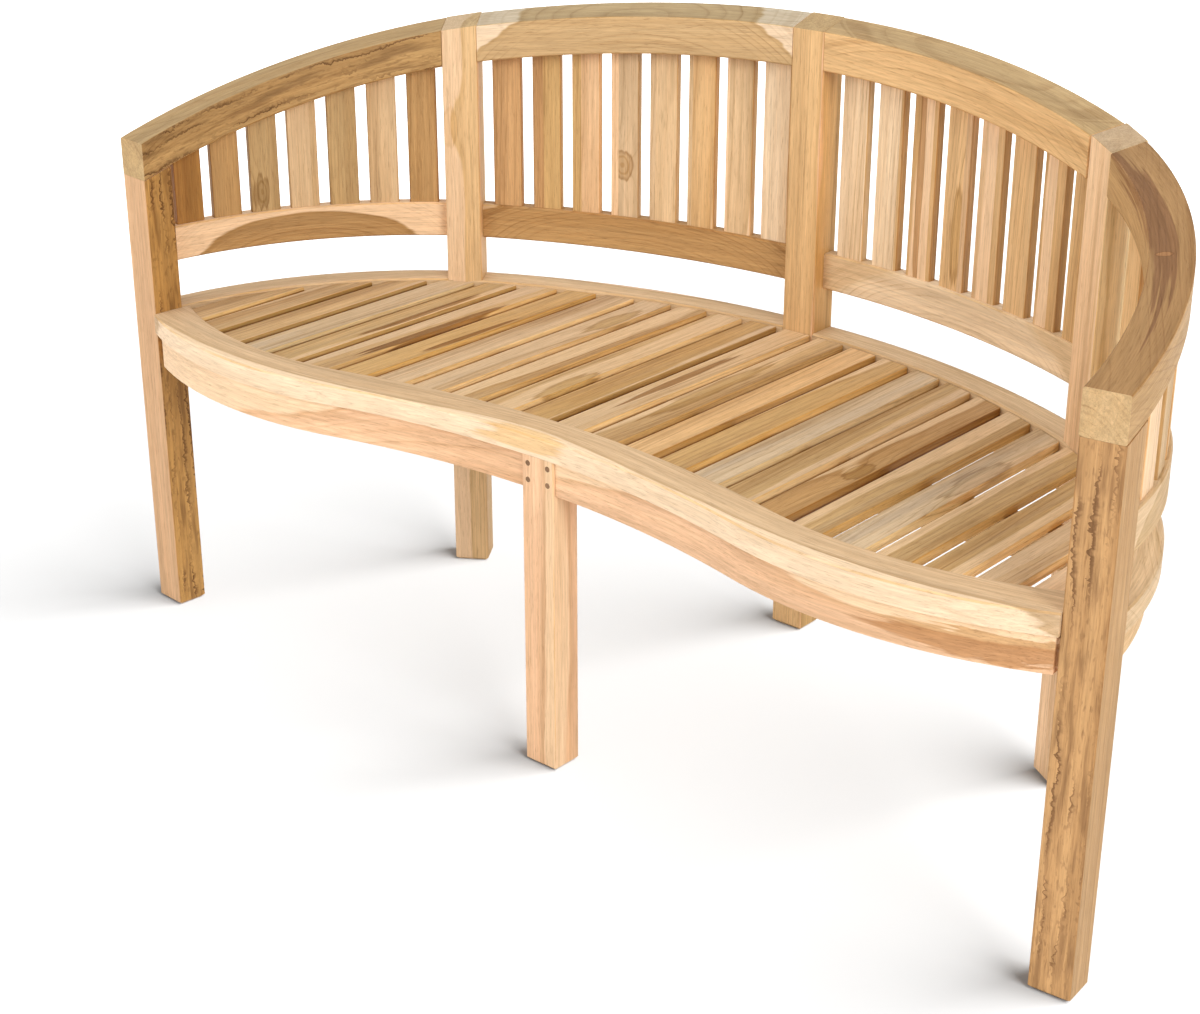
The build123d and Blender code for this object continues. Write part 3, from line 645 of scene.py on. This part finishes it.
def finish_wood(tree, place, shift, outward, look):
    """Teak shading from a look, with its marks and rough faces. The shift gives the piece its own grain."""
    look = {**PLAIN_LOOK, **look}
    bow = look["bow"]
    grain = vectors(tree, "ADD", straighten(tree, place, bow), shift)
    marks = []
    pull = 0.0
    for given in look["marks"]:
        mark = {**PLAIN_MARK, **given}
        outputs = use_group(tree, MARK, Grain=grain, Middle=mark["place"], Size=mark["size"],
                            Pull=mark["pull"], Feather=mark["feather"])
        pull = sums(tree, "ADD", pull, outputs["Pull"])
        marks.append((mark, outputs))
    teak = use_group(
        tree, TEAK, Place=straighten(tree, place, bow, look["ring_bow"]), Grain=grain,
        Pith=(0.0, *look["pith"]), Tilt=(0.0, *look["tilt"]), Crook=look["crook"], Pull=pull,
        Spacing=look["spacing"], Wobble=look["wobble"], Light=look["light"], Dark=look["dark"],
        Sap=tone(look["sap"]), Sap_Radius=look["sap_radius"], Figure=look["figure"] * FIGURE,
        Drift=look["drift"], Streak=look["streak"],
    )
    colour = add_marks(tree, teak["Color"], marks)
    colour, height = add_faces(tree, colour, teak["Height"], place, grain, look["faces"])
    worn = worn_edges(tree, outward, grain)
    colour = tinted(tree, worn, colour, EDGE_TINT)
    roughness = sums(tree, "SUBTRACT", teak["Roughness"], sums(tree, "MULTIPLY", worn, EDGE_POLISH))
    bump = add(tree, "ShaderNodeBump")
    bump.inputs["Strength"].default_value = BUMP_STRENGTH
    bump.inputs["Distance"].default_value = BUMP_DISTANCE
    wire(tree, bump.inputs["Height"], height)
    shader = tree.nodes.new("ShaderNodeBsdfPrincipled")
    wire(tree, shader.inputs["Base Color"], colour)
    wire(tree, shader.inputs["Roughness"], roughness)
    wire(tree, shader.inputs["Normal"], bump.outputs[0])
    shader.inputs["Specular IOR Level"].default_value = SPECULAR
    output = tree.nodes.new("ShaderNodeOutputMaterial")
    wire(tree, output.inputs["Surface"], shader.outputs[0])


def new_material(name):
    """Empty node material."""
    material = bpy.data.materials.new(name)
    material.use_nodes = True
    material.node_tree.nodes.clear()
    return material, material.node_tree


def dress(name, material):
    """One material on every slot of a CAD node."""
    slots = nodes[name].material_slots
    if not slots:
        nodes[name].data.materials.append(material)
    for slot in slots:
        slot.link = "OBJECT"
        slot.material = material


seeds = {name: SEED_START + SEED_STEP * k for k, name in enumerate(sorted(nodes))}


def solid_wood(name, axes, mean, **look):
    """Teak for one straight or curved piece of a mean tone. Marks are given by points of the model."""
    material, tree = new_material("teak_" + name)
    corners = [axes @ vertex.co for vertex in nodes[name].data.vertices]
    low = Vector([min(corner[k] for corner in corners) for k in range(3)])
    high = Vector([max(corner[k] for corner in corners) for k in range(3)])
    middle = (low + high) / 2
    shift = Vector((seeds[name], 0.0, 0.0))
    place = turned_place(tree, axes, -middle)
    bow = (*look.pop("bow", STRAIGHT), middle[0])
    marks = []
    for mark in look.pop("marks", ()):
        spot = axes @ Vector(mark["at"]) - middle
        spot[1] -= bow_at(bow, spot[0])
        marks.append(dict(mark, place=spot + shift))
    colour = tone(mean)
    outward = measure(tree, "DOT_PRODUCT", surface_normal(tree), axes[2])
    look.update(light=lighter(colour), dark=deeper(colour), marks=marks, bow=bow)
    finish_wood(tree, place, shift, outward, look)
    dress(name, material)


def slat_wood(name, centre, radius, first, step, slats, marks=(), **look):
    """Teak for a bay of upright slats, each with its tone and the place where its sapwood starts."""
    material, tree = new_material("teak_" + name)
    low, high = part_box(name)
    height = (low[2] + high[2]) / 2
    place, number, outward = bay_place(tree, centre, radius, first, step, height)
    count = len(slats)
    share = sums(tree, "DIVIDE", sums(tree, "ADD", number, 0.5), float(count))
    tones = [(k / count, tone(word)) for k, (word, start) in enumerate(slats)]
    saps = [(k / count, start) for k, (word, start) in enumerate(slats)]
    light = ramp(tree, share, [(stop, lighter(colour)) for stop, colour in tones], "CONSTANT")
    dark = ramp(tree, share, [(stop, deeper(colour)) for stop, colour in tones], "CONSTANT")
    starts = ramp(tree, share, greys(saps), "CONSTANT")
    along = sums(tree, "ADD", sums(tree, "MULTIPLY", number, SLAT_SEED_STEP), seeds[name])
    shift = join(tree, along, 0.0, 0.0)
    placed = []
    for mark in marks:
        east = mark["at"][0] - centre[0]
        north = mark["at"][1] - centre[1]
        turn = (math.atan2(east, north) - first) / step + 0.5
        slat = math.floor(turn)
        up = mark["at"][2] - height + slat * SLAT_SEED_STEP + seeds[name]
        across = (turn - slat - 0.5) * step * radius
        placed.append(dict(mark, place=(up, across, math.hypot(east, north) - radius)))
    look.update(light=light, dark=dark, sap_radius=starts, marks=placed, figure=SLAT_FIGURE, drift=SLAT_DRIFT)
    finish_wood(tree, place, shift, outward, look)
    dress(name, material)


def face(direction, tint, **more):
    """Tint of the face that looks in a direction.

    Painted shade in a gap has the depths between which it sets in. Torn grain has the axis of the piece
    across its lines, and their spacing, start and share."""
    return dict(face=direction, tint=tint, **more)


# Upper and outer faces are a little darker from painted shade, and the upper ones greyer in tone
SHADED_OUTER_SIDE = face(OUT_RIGHT, (0.93, 0.92, 0.9))
SHADED_GREY_TOP = face(TOP, (0.65, 0.7, 0.72))

# Posts and the middle leg
solid_wood(
    "end_post_left", upright(-END_TURN), "rose", sap="pink", pith=(0.05, 0.06), figure=0.7, wobble=0.012,
    faces=[face(RIGHT, (0.77, 0.69, 0.38), axis=1, spacing=0.015, start=0.004, share=0.9)],
)
# The right face of this post has painted shade, a little darker and bluer
solid_wood(
    "end_post_right", upright(END_TURN), "clay", sap="straw", pith=(0.05, -0.06), figure=0.9, wobble=0.012,
    faces=[face((0.07, -1.0, 0.0), (1.02, 0.98, 0.92), axis=2, spacing=0.018, start=0.003, share=0.8),
           face(RIGHT, (0.92, 0.95, 0.97))],
)
solid_wood(
    "rear_post_left", upright(-REAR_TURN), "honey", sap="blush", pith=(0.06, -0.0215), sap_radius=0.058,
    figure=0.7, wobble=0.006,
    marks=[dict(at=(-0.5037, 0.124, 0.6593), size=(0.03, 0.016, 0.03), tint=(0.93, 0.86, 0.74),
                pull=-0.016, feather=0.6, rim=0.15, share=0.6)],
    faces=[SHADED_GREY_TOP, face((0.55, -0.835, 0.0), (0.94, 0.97, 1.0))],
)
solid_wood(
    "rear_post_middle", upright(0.0), "gold", sap="pink", pith=(-0.07, 0.05), sap_radius=0.118,
    figure=0.8, wobble=0.012, faces=[SHADED_GREY_TOP, face(RIGHT, (0.97, 0.93, 0.76))],
)
# The top of this post has painted shade with a greyer tone, and its side that looks to the right has painted
# light
solid_wood(
    "rear_post_right", upright(REAR_TURN), "blush", sap="pale", pith=(-0.1, 0.05), sap_radius=0.14,
    figure=0.8, wobble=0.012,
    faces=[face(TOP, (0.57, 0.6, 0.61)), face((0.835, -0.55, 0.0), (1.03, 1.18, 1.14))],
)
solid_wood(
    "front_leg", upright(0.0), "pink", sap="blush", pith=(-0.08, 0.06), sap_radius=0.12, figure=0.7,
    wobble=0.012,
)

# Crests
rear_crest = {side: lengthwise(side * REAR_CHORD, CREST_SLOPE) for side in (-1, 1)}
arm_crest = {side: lengthwise(side * ARM_CHORD, CREST_SLOPE) for side in (-1, 1)}
solid_wood(
    "rear_crest_left", rear_crest[-1], "tan", bow=BACK_BOW, sap="ash", pith=(0.03, -0.09), crook=1.14,
    sap_radius=0.153, figure=1.1, wobble=0.012, spacing=0.009, faces=[SHADED_GREY_TOP],
)
solid_wood(
    "rear_crest_right", rear_crest[1], "gold", bow=BACK_BOW, sap="pale", pith=(0.05, -0.08), crook=0.25,
    sap_radius=0.165, figure=0.9, wobble=0.014, faces=[SHADED_GREY_TOP],
)
# The top of this crest has painted shade, with a greyer tone
solid_wood(
    "arm_crest_left", arm_crest[-1], "olive", bow=ARM_BOW, sap="straw", pith=(0.03, -0.06),
    sap_radius=0.14, figure=0.9,
    faces=[face((0.86, -0.5, 0.0), (0.88, 0.79, 0.65), axis=2, spacing=0.015, start=0.004, share=0.85),
           face(TOP, (0.8, 0.82, 0.84))],
)
# The top of this crest has painted shade and a darker, browner tone; its outer face has painted shade; its
# inner face is darker and browner
solid_wood(
    "arm_crest_right", arm_crest[1], "tan", bow=ARM_BOW, sap="straw", pith=(-0.05, -0.05),
    sap_radius=0.13, figure=0.9, wobble=0.016,
    faces=[face(TOP, (0.57, 0.48, 0.38)), face(OUT_RIGHT, (0.8, 0.73, 0.63)),
           face((-0.95, -0.3, 0.0), (0.78, 0.7, 0.6))],
    marks=[dict(at=(0.628, 0.01, 0.757), size=(0.19, 0.014, 0.03), tint=(0.64, 0.54, 0.5), rim=0.0,
                feather=1.5),
           dict(at=(0.6573, -0.0329, 0.7438), size=(0.005, 0.01, 0.01), tint=(1.6, 1.65, 1.7), rim=0.9,
                feather=0.3)],
)

# Lower rails
rear_line = {side: lengthwise(side * REAR_CHORD) for side in (-1, 1)}
arm_line = {side: lengthwise(side * ARM_CHORD) for side in (-1, 1)}
solid_wood(
    "rear_lower_rail_left", rear_line[-1], "brown", bow=BACK_BOW, sap="straw", pith=(0.05, -0.06),
    crook=0.5, sap_radius=0.135, figure=1.2, drift=0.6,
)
solid_wood(
    "rear_lower_rail_right", rear_line[1], "cream", bow=BACK_BOW, sap="straw", pith=(0.05, -0.06),
    crook=0.7, sap_radius=0.11, figure=1.1, wobble=0.016,
)
solid_wood(
    "arm_lower_rail_left", arm_line[-1], "brown", bow=ARM_BOW, sap="pale", pith=(0.03, -0.05),
    crook=0.8, sap_radius=0.07, figure=1.0, wobble=0.012,
)
solid_wood(
    "arm_lower_rail_right", arm_line[1], "tan", bow=ARM_BOW, sap="straw", pith=(0.03, -0.05),
    crook=0.9, sap_radius=0.085, figure=1.0, wobble=0.012,
)

# Seat boards
# Its front face has a little painted shade
solid_wood(
    "front_seat_board", lengthwise(0.0), "fawn", bow=FRONT_BOW, ring_bow=0.9, sap="cream",
    pith=(0.1, 0.03), sap_radius=0.122, figure=0.7, spacing=0.009, wobble=0.006,
    marks=[dict(at=(-0.0237, -0.2479, 0.4307), size=(0.07, 0.02, 0.016), tint=(0.97, 0.86, 0.66),
                pull=0.012, rim=0.1)],
    faces=[face(FRONT, (0.97, 0.945, 0.95))],
)
solid_wood("side_seat_board_left", arm_line[-1], "straw", bow=ARM_BOW, sap="straw", pith=(-0.05, -0.03),
           sap_radius=0.12)
solid_wood("side_seat_board_right", arm_line[1], "straw", bow=ARM_BOW, sap="straw", pith=(-0.05, -0.03),
           sap_radius=0.105, faces=[SHADED_OUTER_SIDE])
solid_wood("rear_seat_board_left", rear_line[-1], "straw", bow=BACK_BOW, sap="pale", pith=(-0.04, -0.05),
           sap_radius=0.1)
solid_wood("rear_seat_board_right", rear_line[1], "straw", bow=BACK_BOW, sap="straw", pith=(-0.04, -0.05),
           sap_radius=0.1)

# Aprons, and the pieces under the seat
FRONT_APRON = dict(bow=FRONT_BOW, ring_bow=0.8, sap="pale", pith=(0.05, -0.07), figure=0.8, spacing=0.009)
UNDER_SEAT = dict(pith=(0.05, -0.04), sap_radius=0.1)
solid_wood("front_apron_left", lengthwise(0.0), "pink", tilt=(0.0, 0.18), sap_radius=0.098, **FRONT_APRON)
solid_wood(
    "front_apron_right", lengthwise(0.0), "pink", crook=0.16, sap_radius=0.112, **FRONT_APRON,
    marks=[dict(at=(0.64, -0.275, 0.39), size=(0.15, 0.05, 0.016), tint=(0.72, 0.6, 0.45), pull=0.01,
                rim=0.15, feather=1.6)],
)
for side, word in ((-1, "left"), (1, "right")):
    solid_wood("side_apron_" + word, arm_line[side], "honey", bow=ARM_BOW, faces=[SHADED_OUTER_SIDE], **UNDER_SEAT)
    solid_wood("rear_apron_" + word, rear_line[side], "gold", bow=BACK_BOW, **UNDER_SEAT)
    solid_wood("slat_bearer_" + word, lengthwise(0.0), "tan", sap="straw", **UNDER_SEAT)
solid_wood("centre_rail", backwards(), "tan", sap="straw", **UNDER_SEAT)
solid_wood("leg_pegs", crosswise(), "peg", sap="brown", pith=(0.0, 0.0), spacing=0.002, figure=0.5)

# Upright back slats in order of rising angle: tone, and distance from the pith where the sapwood starts
NO_SAP = 0.3
# Painted shade on both sides of every upright slat
SLAT_SIDE_SHADE = (0.82, 0.71, 0.54)
UPRIGHT_SLATS = dict(pith=(-0.05, 0.06), wobble=0.014)
LEANING = (0.03, 0.0)


def slat_sides(turn):
    """Sides of the upright slats with painted shade: darker and browner than their faces."""
    angle = math.radians(turn)
    return [face((side * math.cos(angle), -side * math.sin(angle), 0.0), SLAT_SIDE_SHADE) for side in (-1, 1)]


rear_radius = BACK_RADIUS - SLAT_INSET
arm_radius = ARM_RADIUS - SLAT_INSET
left_rear_first = -REAR_SLAT_FIRST - (REAR_SLATS - 1) * REAR_SLAT_STEP
left_arm_first = -ARM_SLAT_FIRST - (ARM_SLATS - 1) * ARM_SLAT_STEP
left_arm_centre = (-ARM_CENTRE[0], ARM_CENTRE[1])
slat_wood(
    "rear_back_slats_right", BACK_CENTRE, rear_radius, REAR_SLAT_FIRST, REAR_SLAT_STEP,
    [("cream", NO_SAP), ("cream", NO_SAP), ("gold", 0.084), ("honey", NO_SAP),
     ("pale", 0.088), ("honey", NO_SAP), ("honey", 0.09), ("gold", NO_SAP)],
    tilt=LEANING, sap="pale", faces=slat_sides(REAR_CHORD), **UPRIGHT_SLATS,
    marks=[dict(at=(0.1714, 0.2747, 0.6657), size=(0.17, 0.006, 0.02), tint=(0.62, 0.5, 0.36), rim=0.2),
           dict(at=(0.2362, 0.2612, 0.6169), size=(0.06, 0.012, 0.02), tint=(0.8, 0.74, 0.6), pull=0.01)],
)
slat_wood(
    "rear_back_slats_left", BACK_CENTRE, rear_radius, left_rear_first, REAR_SLAT_STEP,
    [("clay", NO_SAP), ("amber", NO_SAP), ("blush", NO_SAP), ("fawn", NO_SAP),
     ("straw", NO_SAP), ("gold", 0.086), ("straw", 0.088), ("cream", NO_SAP)],
    tilt=LEANING, sap="pale", faces=slat_sides(-REAR_CHORD), **UPRIGHT_SLATS,
    marks=[dict(at=(-0.2897, 0.2465, 0.6181), size=(0.021, 0.017, 0.03), tint=(0.68, 0.56, 0.38),
                knot=True, pull=0.012, rim=0.6, feather=0.4)],
)
slat_wood(
    "arm_back_slats_right", ARM_CENTRE, arm_radius, ARM_SLAT_FIRST, ARM_SLAT_STEP,
    [("honey", NO_SAP), ("honey", NO_SAP), ("straw", NO_SAP), ("blush", NO_SAP),
     ("honey", 0.085), ("tan", NO_SAP), ("pale", NO_SAP)],
    sap="pale", faces=slat_sides(ARM_CHORD), **UPRIGHT_SLATS,
)
slat_wood(
    "arm_back_slats_left", left_arm_centre, arm_radius, left_arm_first, ARM_SLAT_STEP,
    [("umber", NO_SAP), ("brown", NO_SAP), ("olive", NO_SAP), ("straw", 0.076),
     ("olive", NO_SAP), ("straw", NO_SAP), ("brown", NO_SAP)],
    tilt=LEANING, sap="straw", faces=slat_sides(-ARM_CHORD), **dict(UPRIGHT_SLATS, pith=(0.05, 0.06)),
    marks=[dict(at=(-0.6849, -0.0634, 0.5732), size=(0.03, 0.012, 0.03), tint=(0.6, 0.52, 0.38),
                knot=True, pull=0.012, rim=0.4, feather=1.2)],
)

# Seat slats from left to right: tone, side of the pith, and distance from it where the sapwood starts
SEAT = [
    ("tan", 1, NO_SAP), ("tan", 1, 0.086), ("tan", -1, 0.086), ("grey", 1, NO_SAP), ("olive", -1, 0.085),
    ("tan", 1, 0.075), ("amber", 1, 0.1), ("fawn", -1, 0.09), ("fawn", 1, 0.07), ("tan", 1, 0.07),
    ("tan", -1, 0.07), ("amber", -1, 0.086), ("straw", 1, 0.085), ("tan", 1, 0.085), ("honey", -1, NO_SAP),
    ("amber", 1, 0.088), ("grey", -1, 0.1), ("olive", -1, 0.083), ("brown", 1, 0.088), ("olive", 1, 0.078),
    ("grey", -1, 0.095), ("olive", 1, 0.08), ("olive", -1, 0.078), ("fawn", 1, 0.076), ("pale", 1, NO_SAP),
]
EYE = (0.78, 0.72, 0.55)
GREY_EYE = (0.84, 0.84, 0.84)
BROWN_STREAK = (0.5, 0.38, 0.24)
SEAT_MARK_DEPTH = 0.02
SEAT_FIGURE = 1.9
SEAT_DRIFT = 0.95
SEAT_PITH = (0.055, 0.045)
SEAT_LEAN = 0.02
SEAT_STREAK = 0.1
GREY_STREAK = 0.3
SEAT_SAPS = ("fawn", "straw", "straw")

# Their sides: a warmer tone lightened with painted light, or painted shade on the listed slats, and painted
# shade low in the gaps that starts lower from slat to slat, in metres below a slat's middle
# Painted light on most seat slat sides, painted shade on the listed ones, and painted shade low in the gaps
WARM_LIT_SIDE = (1.26, 1.22, 0.98)
SIDE_SHADE_TINT = (0.72, 0.62, 0.36)
SIDE_SHADED_SLATS = (2, 3, 5, 12, 15, 19)
GAP_SHADE_TINT = (0.45, 0.33, 0.2)
OPEN_GAPS_FROM = 20
GAP_SHADE_SLAT = 8
GAP_SHADE_START = -0.0016
GAP_SHADE_STEP = 0.00025
GAP_SHADE_EDGE = 0.0025


def seat_mark(x, y, length, width, tint, **more):
    """Mark on top of a seat slat."""
    return dict(at=(x, y, SEAT_LEVEL), size=(length, width, SEAT_MARK_DEPTH), tint=tint, **more)


def seat_sides(number):
    """Sides of a seat slat: warmer than its top and lightened with painted light, or darkened with painted
    shade, and painted shade low down where the gap beside it is dark.
    """
    faces = []
    # Side lightened with painted light, or darkened with painted shade on the listed slats
    tint = SIDE_SHADE_TINT if number in SIDE_SHADED_SLATS else WARM_LIT_SIDE
    shade_from = GAP_SHADE_START + GAP_SHADE_STEP * (number - GAP_SHADE_SLAT)
    for way in (-1.0, 1.0):
        faces.append(face((way, 0.0, 0.0), tint))
        # Painted shade low on the side, in the gap beside the slat
        if number < OPEN_GAPS_FROM:
            faces.append(face((way, 0.0, 0.0), GAP_SHADE_TINT, depth=(shade_from, shade_from + GAP_SHADE_EDGE)))
    return faces


SEAT_MARKS = {
    5: [seat_mark(-0.43, -0.02, 0.13, 0.007, BROWN_STREAK)],
    6: [seat_mark(-0.372, -0.04, 0.13, 0.009, BROWN_STREAK, pull=0.004)],
    7: [seat_mark(-0.32, -0.03, 0.09, 0.006, BROWN_STREAK, pull=0.004)],
    9: [seat_mark(-0.2131, 0.1348, 0.06, 0.013, EYE, pull=0.01)],
    11: [seat_mark(-0.096, -0.085, 0.065, 0.013, EYE, pull=0.012)],
    13: [seat_mark(-0.002, 0.02, 0.12, 0.007, BROWN_STREAK)],
    14: [seat_mark(0.0502, 0.03, 0.14, 0.012, EYE, pull=0.008)],
    19: [seat_mark(0.339, -0.0826, 0.03, 0.014, EYE, pull=0.014, feather=0.7)],
    21: [seat_mark(0.4502, -0.013, 0.07, 0.016, GREY_EYE, pull=0.014)],
}
for k, (word, side, start) in enumerate(SEAT, 1):
    solid_wood(
        f"seat_slat_{k:02d}", crosswise(), word, sap=SEAT_SAPS[k % 3], sap_radius=start,
        pith=(SEAT_PITH[0] * side, SEAT_PITH[1]), tilt=(SEAT_LEAN * side, 0.0), figure=SEAT_FIGURE,
        drift=SEAT_DRIFT, streak=GREY_STREAK if word == "grey" else SEAT_STREAK,
        marks=SEAT_MARKS.get(k, ()), faces=seat_sides(k),
    )


# Floor, light and camera
def seen_rays(tree):
    """One for rays that look at the surface, also in a mirror or through glass; nothing for its light."""
    path = add(tree, "ShaderNodeLightPath").outputs
    seen = sums(tree, "MAXIMUM", path["Is Camera Ray"], path["Is Glossy Ray"])
    return sums(tree, "MAXIMUM", seen, path["Is Transmission Ray"])


def make_floor():
    """White studio floor that keeps soft shadows."""
    mesh = bpy.data.meshes.new("floor")
    corners = [(x * FLOOR_SIZE, y * FLOOR_SIZE, 0) for x, y in ((-1, -1), (1, -1), (1, 1), (-1, 1))]
    mesh.from_pydata(corners, [], [(0, 1, 2, 3)])
    floor = bpy.data.objects.new("floor", mesh)
    floor.location.z = cad_box[0].z - FLOOR_DROP
    bpy.context.scene.collection.objects.link(floor)
    material, tree = new_material("floor_white")
    diffuse = add(tree, "ShaderNodeBsdfDiffuse", [FLOOR_GREY])
    glow = add(tree, "ShaderNodeEmission", [WHITE])
    coords = add(tree, "ShaderNodeTexCoord").outputs["Object"]
    far = ease(tree, measure(tree, "LENGTH", coords), *GLOW_REACH)
    strength = sums(tree, "MULTIPLY", seen_rays(tree), spread(tree, far, *GLOW_STRENGTHS))
    wire(tree, glow.inputs["Strength"], strength)
    both = add(tree, "ShaderNodeAddShader", [diffuse.outputs[0], glow.outputs[0]])
    output = tree.nodes.new("ShaderNodeOutputMaterial")
    wire(tree, output.inputs["Surface"], both.outputs[0])
    mesh.materials.append(material)
    return floor


def make_world():
    """Even light from all round, seen as white."""
    world = bpy.data.worlds.new("studio")
    bpy.context.scene.world = world
    world.use_nodes = True
    tree = world.node_tree
    tree.nodes.clear()
    background = add(tree, "ShaderNodeBackground", [WHITE])
    wire(tree, background.inputs["Strength"], spread(tree, seen_rays(tree), WORLD_LIGHT, 1.0))
    output = tree.nodes.new("ShaderNodeOutputWorld")
    wire(tree, output.inputs["Surface"], background.outputs[0])


def aim(lamp, place, target):
    """Put a lamp in its place, turned to a target."""
    lamp.location = place
    lamp.rotation_euler = (Vector(target) - Vector(place)).to_track_quat("-Z", "Y").to_euler()
    bpy.context.scene.collection.objects.link(lamp)


def linked(name, things):
    """Collection of things for a lamp: those it lights or leaves out, or those that shade it."""
    collection = bpy.data.collections.new(name)
    for thing in things:
        collection.objects.link(thing)
    return collection


def make_lamp(name, place, target, size, power, floor):
    """Soft rectangular lamp for the bench; the floor has a light of its own."""
    data = bpy.data.lights.new(name, "AREA")
    data.shape = "RECTANGLE"
    data.size, data.size_y = size
    data.energy = power
    lamp = bpy.data.objects.new(name, data)
    aim(lamp, place, target)
    unlit = linked(name + "_unlit", [floor])
    lamp.light_linking.receiver_collection = unlit
    unlit.collection_objects[0].light_linking.link_state = "EXCLUDE"


def make_floor_light(floor, legs):
    """Even light on the floor alone, with the soft shadows of the legs."""
    data = bpy.data.lights.new("floor_light", "SUN")
    data.energy = FLOOR_LIGHT
    data.angle = math.radians(FLOOR_SOFTNESS)
    lamp = bpy.data.objects.new("floor_light", data)
    aim(lamp, FLOOR_LIGHT_FROM, (0.0, 0.0, 0.0))
    lamp.light_linking.receiver_collection = linked("floor_light_lit", [floor])
    lamp.light_linking.blocker_collection = linked("floor_light_shading", legs)


def make_camera():
    """Camera at the angle of the photograph."""
    data = bpy.data.cameras.new("camera")
    data.sensor_width = CAMERA_SENSOR
    data.lens = CAMERA_LENS
    camera = bpy.data.objects.new("camera", data)
    camera.location = CAMERA_PLACE
    camera.rotation_euler = CAMERA_TURN
    bpy.context.scene.collection.objects.link(camera)
    bpy.context.scene.camera = camera


LEGS = (
    "end_post_left", "end_post_right", "rear_post_left", "rear_post_middle", "rear_post_right", "front_leg",
)
floor = make_floor()
make_world()
for name, lamp in LAMPS.items():
    make_lamp(name, floor=floor, **lamp)
make_floor_light(floor, [nodes[name] for name in LEGS])
make_camera()
bpy.context.scene.view_settings.view_transform = "Standard"
